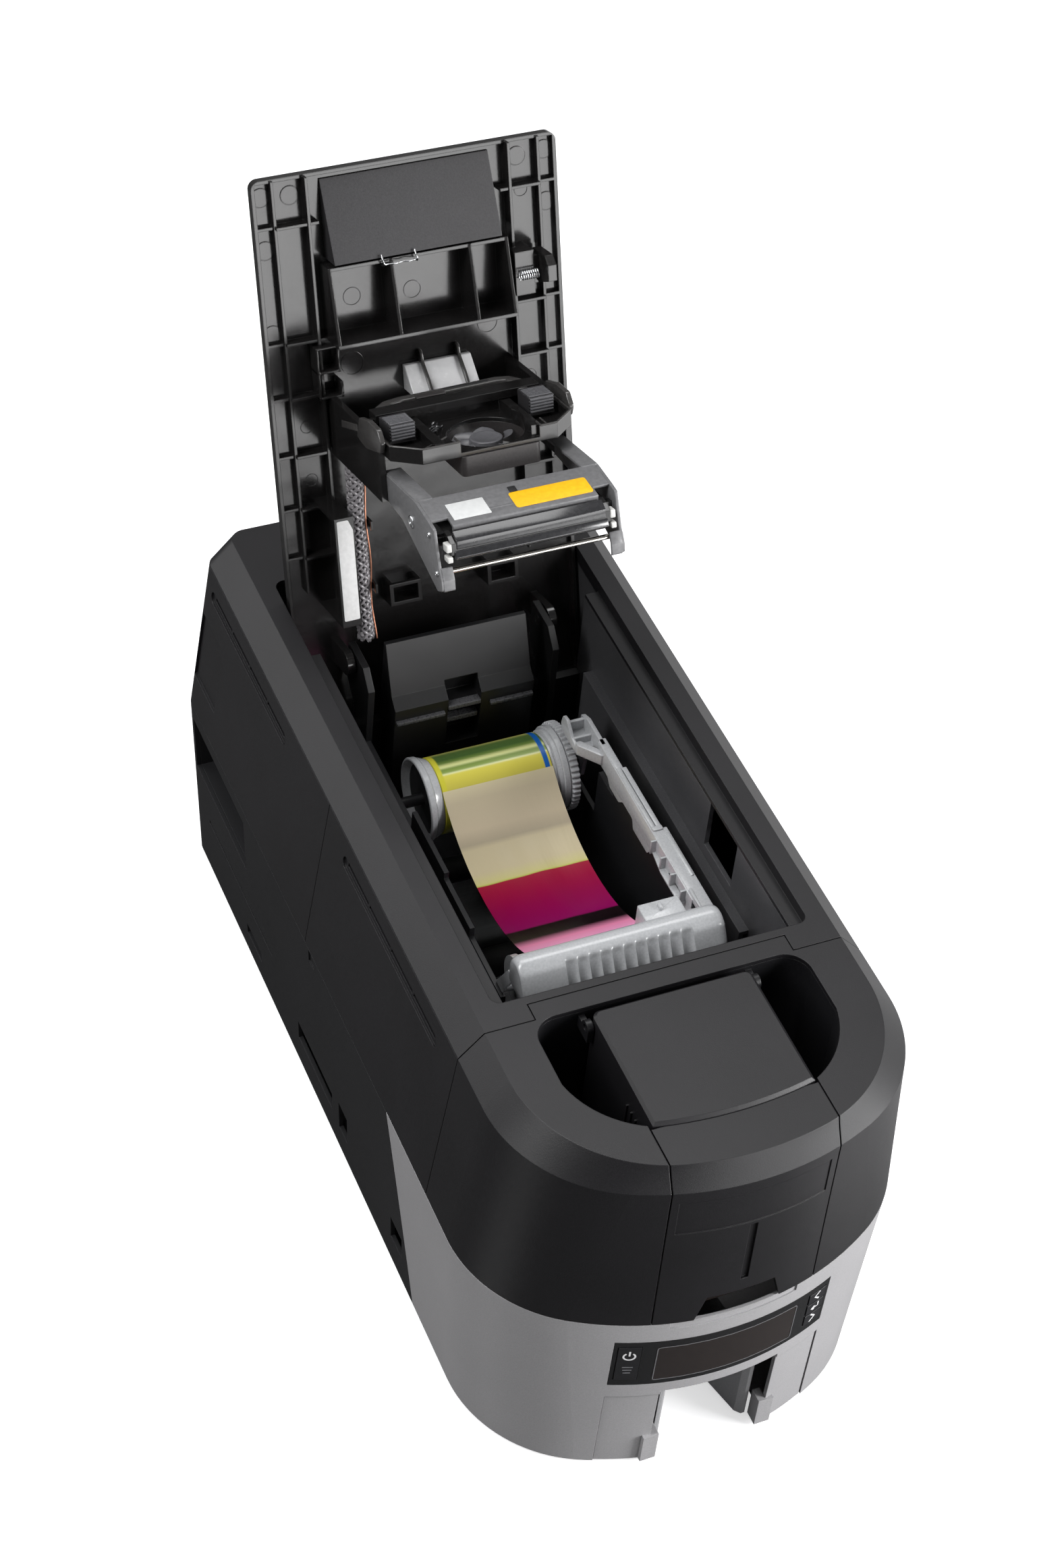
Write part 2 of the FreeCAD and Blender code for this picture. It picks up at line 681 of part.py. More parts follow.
# Bay liner: inner walls under the ledge, wide behind the hinge
liner_low_z = 100.0
liner_step_z = 180.0
liner_step = 5.0
liner_high_z = ledge_z - ledge_thick
window_y0 = 182.0
window_y1 = 212.0
window_low_z = 187.0
rear_wall_reach = 49.5
liner = []
step_x = ledge_half - liner_step
step_y0 = lid_front + 6 * over
step_y1 = well_start_y - 3 * over
liner += both(ledge_half, ledge_half + wall, ledge_front_y, well_start_y, liner_low_z, liner_high_z)
liner += both(step_x, ledge_half, step_y0, step_y1, liner_step_z - wall, liner_step_z)
liner += both(step_x, step_x + wall, step_y0, step_y1, liner_low_z, liner_step_z)
liner.append(box(-ledge_half, ledge_half, ledge_front_y, lid_front - rest_gap, liner_low_z, liner_high_z))
well_x = recess_half + rest_gap
liner += both(ledge_half, well_x + wall, well_start_y - wall, well_start_y, liner_low_z, liner_high_z)
well_end_y = recess_y1 + 2 * wall + rest_gap
liner += both(well_x, well_x + wall, well_start_y - wall, well_end_y, liner_low_z, liner_high_z)
rear_wall_y = hinge_y + rear_wall_reach
liner.append(box(-well_x - wall, well_x + wall, rear_wall_y, rear_wall_y + wall, liner_low_z, liner_high_z))
liner = [p.common(room) for p in liner]
bay_liner = join(liner)
window_x1 = ledge_half + wall + rest_gap
bay_liner = bay_liner.cut(box(ledge_half - rest_gap, window_x1, window_y0, window_y1, window_low_z, top_z))
liner_posts = both(ledge_half, ledge_half + wall, ledge_front_y, ledge_front_y + 4 * wall,
    plate_top, liner_low_z)
liner_posts += both(ledge_half, ledge_half + wall, well_start_y - 6 * wall, well_start_y,
    plate_top, liner_low_z)
bay_liner = join([bay_liner] + liner_posts)

# Rear block of the bay, with the two hinge cheeks
block_half = 38.0
block_front_y = 352.0
block_rear_y = 366.0
block_low_z = 96.0
block_slope_z = 190.0
block_top_z = 216.0
block_foot_y = 346.0
cheek_x0 = 48.5
cheek_x1 = 52.0
cheek_y0 = 349.0
cheek_y1 = 378.0
cheek_top_z = 209.0
cheek_bevel = 9.0
cheek_foot_y = 368.0
cheek_step_z = 177.0
hinge_pin_r = 3.0
catch_half = 9.0
catch_high = 12.0
rear_profile = [(block_foot_y, block_low_z), (block_rear_y, block_low_z), (block_rear_y, block_top_z)]
rear_profile += [(block_rear_y - wall, block_top_z), (block_front_y, block_slope_z), (block_foot_y,
    block_slope_z - 2 * wall)]
rear_core = slab_x(rear_profile, -block_half, block_half)
catch = box(-catch_half, catch_half, 0, block_foot_y + catch_high, block_slope_z - 3 * catch_high,
    block_slope_z - catch_high)
rear_core = rear_core.cut(catch)
catch_z = block_slope_z - catch_high
catch_top = box(-catch_half, catch_half, 0, block_foot_y + catch_high, catch_z + wall, block_slope_z + wall)
rear_core = rear_core.cut(catch_top)
cheek_points = [(cheek_y0, block_low_z), (cheek_foot_y, block_low_z), (cheek_foot_y, cheek_step_z)]
cheek_points += [(cheek_y1, cheek_step_z + cheek_bevel), (cheek_y1, cheek_top_z),
    (cheek_y0 + cheek_bevel, cheek_top_z)]
cheek_points.append((cheek_y0, cheek_top_z - cheek_bevel))
cheeks = [slab_x(cheek_points, cheek_x0, cheek_x1), slab_x(cheek_points, -cheek_x1, -cheek_x0)]
bridge_z = block_slope_z - 4 * over
bridge = box(-ledge_half, ledge_half, block_rear_y - 2 * wall, block_rear_y, block_low_z, bridge_z)
bay_rear_block = join([rear_core, bridge] + cheeks)
bay_rear_block = bay_rear_block.cut(rod_x(-wide, wide, hinge_y, hinge_z, hinge_pin_r + shaft_gap))
block_legs = both(block_half - 4 * wall, block_half, block_rear_y - 2 * wall, block_rear_y,
    plate_top, block_low_z)
bay_rear_block = join([bay_rear_block] + block_legs)

# Supply spool, take up spool and the wound film on each
flange_r = 23.0
flange_x0 = 34.5
flange_x1 = 38.0
gear_x0 = 38.0
gear_x1 = 42.5
core_r = 9.0
wound_r = 20.0
film_half = 30.0
gear_r = 23.5
gear_teeth = 48
tooth_deep = 1.6
tooth_shares = (0, 0.3, 0.42, 0.88)
flange_step = 1.0
takeup_flange_r = 13.8
takeup_wound_r = 12.4
takeup_core_r = 7.0


def toothed(x0, x1, y, z, r, teeth):
    inner = r - tooth_deep
    pitch = 2 * math.pi / teeth
    corners = []
    for i in range(teeth):
        a = i * pitch
        for share, radius in zip(tooth_shares, (inner, inner, r, r)):
            b = a + share * pitch
            corners.append((y + radius * math.cos(b), z + radius * math.sin(b)))
    return slab_x(corners, x0, x1)


def spool(y, z, flange, core):
    parts = [rod_x(-frame_x1, frame_x1 - frame_thick / 2, y, z, axle_r)]
    parts.append(rod_x(-flange_x1, gear_x1, y, z, core))
    for i in (-1, 1):
        x0 = min(i * flange_x0, i * flange_x1)
        x1 = max(i * flange_x0, i * flange_x1)
        parts.append(rod_x(x0, x1, y, z, flange))
    return parts


supply_spool = spool(supply_y, supply_z, flange_r - flange_step, core_r)
supply_spool.append(toothed(gear_x0, gear_x1, supply_y, supply_z, gear_r, gear_teeth))
supply_spool = join(supply_spool)
takeup_spool = spool(takeup_y, takeup_z, takeup_flange_r, takeup_core_r)
takeup_spool.append(toothed(gear_x0, gear_x1, takeup_y, takeup_z, takeup_flange_r, gear_teeth // 2))
takeup_spool = join(takeup_spool)


def wound(y, z, r, core):
    return rod_x(-film_half, film_half, y, z, r).cut(rod_x(-wide, wide, y, z, core))


# The free web of film between the spools: an even sheet on a bent profile
web_gap = 0.15
film_thick = 0.3
sag_y = 262.0
sag_z = 153.0
leave_deg = 50.0
meet_deg = 35.0


def web_sheet():
    leave = math.radians(leave_deg)
    meet = math.radians(meet_deg)
    out_r = wound_r + web_gap
    in_r = takeup_wound_r + web_gap
    first = V(-film_half, supply_y - out_r * math.cos(leave), supply_z + out_r * math.sin(leave))
    last = V(-film_half, takeup_y + in_r * math.sin(meet), takeup_z + in_r * math.cos(meet))
    middle = V(-film_half, sag_y, sag_z)
    lift = V(0, 0, film_thick)
    first_way = V(0, -math.sin(leave), -math.cos(leave))
    last_way = V(0, -math.cos(meet), math.sin(meet))
    sides = []
    for rise in (V(0, 0, 0), lift):
        side = Part.BSplineCurve()
        line = [first + rise, middle + rise, last + rise]
        side.interpolate(line, InitialTangent=first_way, FinalTangent=last_way)
        sides.append(side.toShape())
    edges = sides + [Part.makeLine(last, last + lift), Part.makeLine(first, first + lift)]
    return Part.Face(Part.Wire(Part.__sortEdges__(edges))).extrude(V(2 * film_half, 0, 0))


# Cartridge frame: a ribbed grip bar and one rail with two spool arms
bar_half = 52.3
bar_y0 = 143.0
bar_y1 = 163.5
bar_low_z = 186.0
bar_high_z = 206.0
bar_shares = [
    (1, 0.1), (1, 0.8), (0.878, 0.925), (0.6341, 1), (0.3902, 0.9),
    (0.0488, 0.35), (0, 0.15), (0.0976, 0), (0.7317, 0),
]
rib_shares = [
    (0.4146, 0.875), (0.3366, 0.9), (-0.0049, 0.35), (0, 0.175), (0.1463, 0.2),
]
rib_count = 10
rib_pitch = 8.0
rib_wide = 5.0
rail_x0 = 50.0
rail_x1 = 57.8
rail_y0 = 162.0
rail_y1 = 300.0
rail_low_z = frame_top_z + rest_gap / 2
rail_high_z = 190.0
rail_hollow_y = 178.0
rail_window_y0 = 236.0
rail_window_y1 = 284.0
arm_x0 = rail_x0
arm_foot = 6.0
supply_arm_reach = 26.0
takeup_arm_reach = 12.0
tag_x0 = 16.0
tag_x1 = 38.0
tag_deep = 9.5
tag_low_z = 188.0
tag_high_z = 202.5
bar_deep = bar_y1 - bar_y0
bar_high = bar_high_z - bar_low_z
bar = slab_x(placed(bar_shares, bar_y0, bar_low_z, bar_deep, bar_high), -bar_half, bar_half)
rib_points = placed(rib_shares, bar_y0, bar_low_z, bar_deep, bar_high)
ribs = []
for i in range(rib_count):
    x = (i - (rib_count - 1) / 2) * rib_pitch - rib_wide / 2
    ribs.append(slab_x(rib_points, x, x + rib_wide))
rail = box(rail_x0, rail_x1, rail_y0, rail_y1, rail_low_z, rail_high_z)
rail_under = rail_low_z - over
rail_inner_y = rail_y1 - 3 * wall
rail = rail.cut(box(rail_x0 + wall, rail_x1 - wall, rail_hollow_y, rail_inner_y, rail_under,
    rail_high_z - wall))
rail_window_x = rail_x0 + 2 * wall
rail_window_z = rail_high_z - 1.5 * wall
rail = rail.cut(box(rail_x0 - over, rail_window_x, rail_window_y0, rail_window_y1, rail_under,
    rail_window_z))


def rail_arm(y, z, rear_y, front_y):
    points = [(front_y, rail_low_z + wall), (y - arm_foot, z - arm_foot), (y + arm_foot, z - arm_foot)]
    points += [(y + arm_foot, z + arm_foot), (rear_y, rail_low_z + wall)]
    return slab_x(points, arm_x0, arm_x0 + frame_thick)


arms = [rail_arm(supply_y, supply_z, rail_y1 - wall, supply_y - supply_arm_reach)]
arms.append(rail_arm(takeup_y, takeup_z, takeup_y + takeup_arm_reach, takeup_y - takeup_arm_reach))
tag = box(tag_x0, tag_x1, bar_y1 - wall, bar_y1 + tag_deep, tag_low_z, tag_high_z)
left_arm_shares = [
    (0.7317, 0.2), (1, 0.2), (1.6098, -0.785), (1.2195, -0.785),
]
left_arm_points = placed(left_arm_shares, bar_y0, bar_low_z, bar_deep, bar_high)
left_arm = slab_x(left_arm_points, frame_thick / 2 - frame_x1, -frame_x0)
cartridge_frame = join([bar, rail, tag, left_arm] + arms + ribs)
for y, z in ((supply_y, supply_z), (takeup_y, takeup_z)):
    cartridge_frame = cartridge_frame.cut(rod_x(0, wide, y, z, axle_r + shaft_gap))

# Hopper tray, card stack, pick roller and inner machines of the body
card_half = 27.0
card_y0 = 13.0
card_long = 85.6
tray_z = 119.0
tray_thick = 2.0
stack_high = 24.0
pick_y = 62.0
pick_z = 108.0
pick_r = 9.0
pick_half = 12.0
tray_x = card_half + wall
tray_y1 = card_y0 + card_long + wall
hopper_tray = box(-tray_x, tray_x, card_y0, tray_y1, tray_z - tray_thick, tray_z)
pick_x = pick_half + wall
pick_reach = pick_r + wall
hopper_tray = hopper_tray.cut(box(-pick_x, pick_x, pick_y - pick_reach, pick_y + pick_reach, 0,
    tray_z + over))
tray_leg_y = bay_rear_y + 4 * over
tray_extra = both(card_half + rest_gap, tray_x, card_y0 + 5 * wall, tray_y1, tray_z, tray_z + stack_high)
tray_extra += both(card_half - wall, tray_x, tray_leg_y, tray_leg_y + over, plate_top, tray_z)
tray_extra += both(pick_x, pick_x + wall, pick_y - 2 * wall, pick_y + 2 * wall, pick_z - 2 * wall, tray_z)
hopper_tray = join([hopper_tray] + tray_extra)
pick_axle = rod_x(-pick_x - wall, pick_x + wall, pick_y, pick_z, axle_r)
hopper_tray = hopper_tray.cut(rod_x(-wide, wide, pick_y, pick_z, axle_r + shaft_gap))
pick_roller = join([rod_x(-pick_half, pick_half, pick_y, pick_z, pick_r), pick_axle])
card_stack = box(-card_half, card_half, card_y0 + wall, card_y0 + card_long, tray_z + rest_gap,
    tray_z + stack_high)

case_x0 = -60.0
case_x1 = 30.0
case_y0 = 386.0
case_y1 = 434.0
case_top_z = 62.0
power_supply = box(case_x0, case_x1, case_y0, case_y1, plate_top, case_top_z)
board_x0 = 84.0
board_thick = 1.6
board_y0 = 190.0
board_long = 162.0
board_high = 98.1
board_face = board_x0 + board_thick
board = box(board_x0, board_face, board_y0, board_y0 + board_long, plate_top, plate_top + board_high)
chip_shares = [
    (0.12, 0.26, 0.35, 0.57, 0.022),
    (0.37, 0.48, 0.55, 0.73, 0.031),
    (0.62, 0.86, 0.25, 0.39, 0.092),
]
board_parts = [board]
for y0, y1, z0, z1, high in chip_shares:
    y0, y1 = board_y0 + y0 * board_long, board_y0 + y1 * board_long
    z0, z1 = plate_top + z0 * board_high, plate_top + z1 * board_high
    board_parts.append(box(board_face, board_face + high * board_high, y0, y1, z0, z1))
main_board = join(board_parts)
motor_r = 17.0
motor_long = 24.0
motor_gap = frame_x1 + rest_gap / 3
drive_motor = rod_x(-motor_gap - motor_long, -motor_gap, motor_y, motor_z, motor_r)
shaft_x0 = frame_thick - frame_x0 - 2 * over
drive_motor = drive_motor.fuse(rod_x(shaft_x0, rest_gap - frame_x0, motor_y, motor_z, axle_r))


# Lid, built closed
lid_skin = 2.6
rim_thick = 1.8
rim_low_z = top_z - recess_deep
lid_round = 4.5
inner_z = top_z - lid_skin
rib_thick = 1.4
outer_rib_x = 67.7
inner_rib_x = 51.5
rib_front_y = lid_front + rim_thick / 2
rib_rear_y = 336.0
rib_low_z = 216.6
cross_rib_low = 215.0
cross_shares = (0.0790, 0.2784, 0.3746, 0.4777, 0.5739, 0.6632)
cell_cross_count = 2
cell_y0 = 168.0
cell_y1 = 206.0
cell_half = 46.5
cell_top_low = 208.5
cell_rear_low = 200.5
cell_wall = 1.7
cell_dividers = (-15.0, 25.5)
boss_r = 4.6
boss_rise = 0.4
boss_shares = [
    (-0.9331, 0.0309), (-0.9331, 0.1203), (-0.9331, 0.2646), (-0.7465, 0.0344), (0.7465, 0.0344),
    (0.9331, 0.0309), (0.9331, 0.1203),
]

lid = round_box(-lid_half, lid_half, lid_front, lid_rear, rim_low_z, top_z, lid_round)
top_lid_edges = [e for e in lid.Edges if min(v.Z for v in e.Vertexes) == top_z]
lid = lid.makeChamfer(lid_skin / 3, top_lid_edges)
lid_x = lid_half - rim_thick
lid = lid.cut(box(-lid_x, lid_x, lid_front + rim_thick, lid_rear - rim_thick, 0, inner_z))
lid_parts = [lid]
for x, low in ((outer_rib_x, rib_low_z), (inner_rib_x, rib_low_z - wall)):
    lid_parts += both(x - rib_thick / 2, x + rib_thick / 2, rib_front_y, rib_rear_y, low, inner_z)
for i, share in enumerate(cross_shares):
    y = lid_front + share * lid_length
    cross_x0 = cell_half if i < cell_cross_count else inner_rib_x
    lid_parts += both(cross_x0, outer_rib_x, y, y + rib_thick, cross_rib_low, inner_z)
    lid_parts += both(outer_rib_x, lid_half - rim_thick / 2, y, y + rib_thick, rim_low_z, inner_z)
for x, y in placed(boss_shares, 0, lid_front, lid_half, lid_length):
    lid_parts.append(rod_z(x, y, inner_z - boss_rise, inner_z, boss_r))
cell_side = [(cell_y0, inner_z), (cell_y0, cell_top_low), (cell_y1, cell_rear_low), (cell_y1, inner_z)]
for x in (-cell_half,) + cell_dividers + (cell_half - cell_wall,):
    lid_parts.append(slab_x(cell_side, x, x + cell_wall))
lid_parts.append(box(-cell_half, cell_half, cell_y0, cell_y0 + cell_wall, cell_top_low, inner_z))
lid_parts.append(box(-cell_half, cell_half, cell_y1 - cell_wall, cell_y1, cell_rear_low, inner_z))

# Left channel that carries the white label, and the hinge lugs and pins
channel_x0 = 49.6
channel_x1 = 59.5
channel_y0 = 288.0
channel_y1 = 346.5
channel_low_z = 191.0
channel = box(-channel_x1, -channel_x0, channel_y0, channel_y1, channel_low_z, inner_z)
channel_inner = -channel_x0 - wall
channel_rear = channel_y1 - wall
channel = channel.cut(box(-channel_x1 - over, channel_inner, channel_y0 + wall, channel_rear,
    channel_low_z + wall, inner_z))
lid_parts.append(channel)
lug_x0 = 53.0
lug_x1 = 57.0
lug_r = 6.5
for side in (-1, 1):
    x0 = min(side * lug_x0, side * lug_x1)
    lid_parts.append(rod_x(x0, x0 + lug_x1 - lug_x0, hinge_y, hinge_z, lug_r))
    lid_parts.append(box(x0, x0 + lug_x1 - lug_x0, hinge_y - lug_r, hinge_y + lug_r, hinge_z, inner_z))
    pin_x0 = min(side * cheek_x0, side * lug_x0)
    lid_parts.append(rod_x(pin_x0, pin_x0 + lug_x0 - cheek_x0, hinge_y, hinge_z, hinge_pin_r))

# Two wire guide loops near the hinge
loop_places = [(-27.0, -10.0), (26.0, 43.0)]
loop_y0 = 338.0
loop_y1 = 350.0
loop_low_z = 210.5
loop_bar = 2.0
for x0, x1 in loop_places:
    loop = box(x0, x1, loop_y0, loop_y1, loop_low_z, inner_z)
    loop = loop.cut(box(x0 + loop_bar, x1 - loop_bar, loop_y0 + loop_bar, loop_y1 - loop_bar, 0, inner_z))
    loop = loop.cut(box(x0 + loop_bar, x1 - loop_bar, 0, loop_y0 + loop_bar, loop_low_z + loop_bar,
        inner_z))
    lid_parts.append(loop)
lid_shell = join(lid_parts)

# Sloped smooth panel near the free edge
slope_half = 43.0
slope_y0 = 127.5
slope_y1 = 166.5
slope_low_z = 207.0
slope_top_z = 220.5
slope_thick = 1.8
slope_step = 0.8
slope_profile = [(slope_y0, slope_top_z), (slope_y0, slope_top_z + slope_step)]
slope_profile += [(slope_y1, slope_top_z + slope_step), (slope_y1, slope_low_z)]
lid_panel = slab_x(slope_profile, -slope_half, slope_half)
slope_in_y0 = slope_y0 + 3 * slope_thick
slope_in_y1 = slope_y1 - slope_thick
slope_inner = [(slope_in_y0, slope_top_z + over), (slope_in_y0, slope_top_z)]
slope_inner += [(slope_in_y1, slope_low_z + slope_thick), (slope_in_y1, slope_top_z + over)]
lid_panel = lid_panel.cut(slab_x(slope_inner, slope_thick - slope_half, slope_half - slope_thick))
lid_panel = lid_panel.common(box(-wide, wide, 0, long, 0, inner_z))

# Head carrier: black cheeks, tray and bar that hang from the lid
carrier_x0 = 46.2
carrier_x1 = 49.3
carrier_y0 = 233.0
carrier_y1 = 264.0
carrier_low_z = 146.0
tray_y0 = 239.0
tray_y1 = 241.0
tray_low_z = 127.0
tray_high_z = 172.0
tray_rim = 5.5
tray_cut = 12.0
fan_x = 5.0
fan_z = 146.0
fan_half = 20.0
fan_deep = 10.0
fan_bore_r = 18.6
beam_y0 = 229.0
beam_y1 = 233.0
beam_low_z = 165.0
beam_high_z = 177.0
beam_half = 42.0
tab_x0 = 29.0
tab_x1 = 42.0
tab_low_z = 149.0
tab_high_z = 163.0
tab_y0 = 228.0
tab_lines = 5
tab_pitch = 1.6
tab_line_deep = 0.5
carrier = both(carrier_x0, carrier_x1, carrier_y0, carrier_y1, carrier_low_z, inner_z)
tray_plan = [(carrier_x0 - tray_cut, tray_low_z), (carrier_x0, tray_low_z + tray_cut), (carrier_x0,
    tray_high_z)]
tray_plan += [(-x, z) for x, z in reversed(tray_plan)]
tray_shrink = (0.96, 0.92)


tray_inner = [(x * tray_shrink[0], fan_z + (z - fan_z) * tray_shrink[1]) for x, z in tray_plan]
carrier.append(slab_y(tray_plan, tray_y0, tray_y1))
rim = slab_y(tray_plan, tray_y0 - tray_rim, tray_y0)
rim = rim.cut(slab_y(tray_inner, tray_y0 - tray_rim - over, tray_y0))
rim = rim.cut(box(fan_x - fan_half, fan_x + fan_half, 0, tray_y0, 0, fan_z))
rim = rim.cut(box(-wide, wide, 0, tray_y0, tray_high_z - 2 * wall, tray_high_z + over))
carrier.append(rim)
carrier.append(box(-carrier_x0, carrier_x0, beam_y0 + wall, tray_y1, tray_high_z - wall, tray_high_z))
carrier.append(box(-beam_half, beam_half, beam_y0, beam_y1, beam_low_z + wall, beam_high_z))
carrier += both(tab_x0 - 3 * wall, tab_x0 - wall, tray_y0 - tray_rim, tray_y0, tray_low_z + wall,
    tray_high_z)
carrier_rear = carrier_y1 - 4 * wall
carrier.append(box(-carrier_x0, carrier_x0, carrier_rear, carrier_rear + wall,
    tray_high_z + 2 * wall, inner_z))
head_carrier = join(carrier)
hole_x0 = tab_x0 - move_gap
hole_x1 = tab_x1 + move_gap
tab_holes = both(hole_x0, hole_x1, 0, tray_y0, tab_low_z - move_gap, tab_high_z + move_gap)
tab_holes += both(hole_x0 + wall, hole_x1 - wall, 0, tray_y1 + over, tab_low_z + wall, tab_high_z - wall)
head_carrier = head_carrier.cut(tab_holes)
head_carrier = head_carrier.cut(rod_y(fan_x, fan_z, tray_y0 - tray_rim, tray_y1 + over, fan_bore_r))

# Fan frame and its rotor
fan_y0 = tray_y1
fan_y1 = fan_y0 + fan_deep
hub_r = 8.0
hub_gap = 0.5
blade_count = 7
blade_thick = 1.0
blade_turn = 32.0
blade_gap = 1.2
tip_gap = 0.8
spider_thick = 1.5
stub_long = 5.0
rotor_gap = 2.0
fan_frame = box(fan_x - fan_half, fan_x + fan_half, fan_y0, fan_y1, fan_z - fan_half, fan_z + fan_half)
fan_corners = [e for e in fan_frame.Edges if abs(e.tangentAt(e.FirstParameter).y) == 1]
fan_frame = fan_frame.makeFillet(wall, fan_corners)
fan_frame = fan_frame.cut(rod_y(fan_x, fan_z, 0, long, fan_bore_r))
spider_y = fan_y1 - spider_thick
spider = [rod_y(fan_x, fan_z, spider_y, fan_y1, hub_r)]
for half_x, half_z in ((fan_half, wall / 2), (wall / 2, fan_half)):
    spider.append(box(fan_x - half_x, fan_x + half_x, spider_y, fan_y1, fan_z - half_z, fan_z + half_z))
spider.append(rod_y(fan_x, fan_z, fan_y1 - stub_long, fan_y1, wall / 2))
fan_frame = join([fan_frame] + spider)
screw_r = 1.7
screw_inset = 3.8
for sx in (-1, 1):
    for sz in (-1, 1):
        x = fan_x + sx * (fan_half - screw_inset)
        z = fan_z + sz * (fan_half - screw_inset)
        fan_frame = fan_frame.cut(rod_y(x, z, 0, long, screw_r))
rotor = [rod_y(fan_x, fan_z, fan_y0 + hub_gap, fan_y1 - rotor_gap, hub_r)]
blade_y0 = fan_y0 + blade_gap
blade_y1 = fan_y1 - 2 * blade_gap
blade_r = fan_bore_r - tip_gap
blade_deep = blade_y1 - blade_y0
for i in range(blade_count):
    a = 2 * math.pi * i / blade_count
    blade = box(hub_r - wall, blade_r, 0, blade_deep, -blade_thick / 2, blade_thick / 2)
    blade.rotate(V(0, blade_deep / 2, 0), V(1, 0, 0), blade_turn)
    blade = blade.common(rod_y(0, 0, -over, 2 * over, blade_r))
    blade.translate(V(0, blade_y0, 0))
    blade.rotate(V(0, 0, 0), V(0, 1, 0), math.degrees(a))
    blade.translate(V(fan_x, 0, fan_z))
    rotor.append(blade.common(box(-wide, wide, blade_y0, blade_y1, 0, top_z)))
fan_rotor = join(rotor)
fan_rotor = fan_rotor.cut(rod_y(fan_x, fan_z, fan_y1 - stub_long - 2 * shaft_gap, fan_y1,
    wall / 2 + shaft_gap))

# Grey metal head bracket with side plates
bracket_half = 46.2
bracket_thick = 1.6
bracket_y0 = 251.4
bracket_deep = 35.1
bracket_low_z = 80.8
bracket_high = 79.2
lip_half = 36.0
arm_in = 38.0
arm_low_z = 108.0
arm_high_z = 150.0
side_shares = [
    (0, 1), (0, 0.1162), (0.0741, 0.072), (0.6154, 0.0341), (0.8148, 0),
    (0.9288, 0), (1, 0.0657), (0.416, 0.596), (0.3305, 1),
]
slope_shares = [
    (0, 0.3624), (0, 0.3497), (0.0855, 0.154), (0.1425, 0.0972), (0.188, 0.0972),
    (0.1282, 0.1591), (0.0456, 0.3624),
]
lip_shares = [
    (0.114, 0.1275), (0.1311, 0.0808), (0.19, 0.0859), (0.185, 0.1023), (0.1652, 0.1023),
    (0.1368, 0.1364),
]
side_points = placed(side_shares, bracket_y0, bracket_low_z, bracket_deep, bracket_high)
side_x = bracket_half - bracket_thick
bracket = [slab_x(side_points, side_x, bracket_half), slab_x(side_points, -bracket_half, -side_x)]
slope_points = placed(slope_shares, bracket_y0, bracket_low_z, bracket_deep, bracket_high)
bracket.append(slab_x(slope_points, -bracket_half, bracket_half))
lip_points = placed(lip_shares, bracket_y0, bracket_low_z, bracket_deep, bracket_high)
bracket.append(slab_x(lip_points, -lip_half, lip_half))
bracket += both(arm_in, bracket_half, bracket_y0, bracket_y0 + bracket_thick, arm_low_z, arm_high_z)
head_bracket = join(bracket)
cross_rod_y = 277.0
cross_rod_z = 84.8
rod_r = 1.3
head_bracket = head_bracket.cut(rod_x(-wide, wide, cross_rod_y, cross_rod_z, rod_r + shaft_gap / 2))
head_rod = rod_x(-bracket_half, bracket_half, cross_rod_y, cross_rod_z, rod_r)

# Black print head on the bracket
print_half = 40.0
print_y0 = 258.8
print_deep = 12.7
print_low_z = 81.2
print_high = 22.8
print_shares = [
    (0, 1), (0, 0.3684), (0.0945, 0.1886), (0.2913, 0), (0.7244, 0),
    (1, 0.1447), (1, 0.4737), (0.6457, 0.6491), (0.6457, 1),
]
pin_y0 = 262.0
pin_y1 = 266.0
pin_low_z = 90.0
pin_high_z = 94.0
printhead = slab_x(placed(print_shares, print_y0, print_low_z, print_deep, print_high),
    -print_half, print_half)
head_pins = both(print_half - wall, side_x, pin_y0, pin_y1, pin_low_z, pin_high_z)
printhead = join([printhead] + head_pins)

# Light metal plate with two ribs between the carrier and the lid
plate_x0 = -8.0
plate_x1 = 27.0
plate_y = 227.0
plate_deep = 13.0
plate_low_z = 206.0
plate_rib_xs = (0.5, 20.0)
plate_high = inner_z - plate_low_z
plate_shares = [
    (0, 1), (0, 0.7792), (1, 0), (1, 1),
]
plate_rib_shares = [
    (-0.3846, 1), (-0.3846, 0.7143), (1.3077, -0.2597), (1.3077, 1),
]
plate_points = placed(plate_shares, plate_y, plate_low_z, plate_deep, plate_high)
rib_points = placed(plate_rib_shares, plate_y, plate_low_z, plate_deep, plate_high)
head_plate = join([slab_x(plate_points, plate_x0, plate_x1)] + [slab_x(rib_points, x,
    x + rib_thick) for x in plate_rib_xs])

# Braided head cable held along the left of the lid
cable_x = -43.2
cable_r = 4.6
bend_share = 0.45
cable_y0 = 267.0
cable_long = 95.0
cable_z = 204.0
cable_rise = 2.5
cable_shares = [(0, 0.4), (0.3474, 0), (0.7263, 1), (1, 0)]
cable_points = [V(cable_x, y, z) for y, z in placed(cable_shares, cable_y0, cable_z, cable_long,
    cable_rise)]


def tube(points, r):
    edges = []
    start = points[0]
    for i in range(1, len(points) - 1):
        a, b, c = points[i - 1], points[i], points[i + 1]
        u = (b - a).normalize()
        w = (c - b).normalize()
        turn = u.getAngle(w)
        leg = bend_share * min((b - a).Length, (c - b).Length)
        bend = leg / math.tan(turn / 2)
        p, q = b - u * leg, b + w * leg
        half = (w - u).normalize()
        middle = b + half * (bend / math.cos(turn / 2) - bend)
        edges.append(Part.makeLine(start, p))
        edges.append(Part.Arc(p, middle, q).toShape())
        start = q
    edges.append(Part.makeLine(start, points[-1]))
    spine = Part.Wire(edges)
    ring = Part.Wire([Part.Circle(points[0], points[1] - points[0], r).toShape()])
    return spine.makePipeShell([ring], True, True)


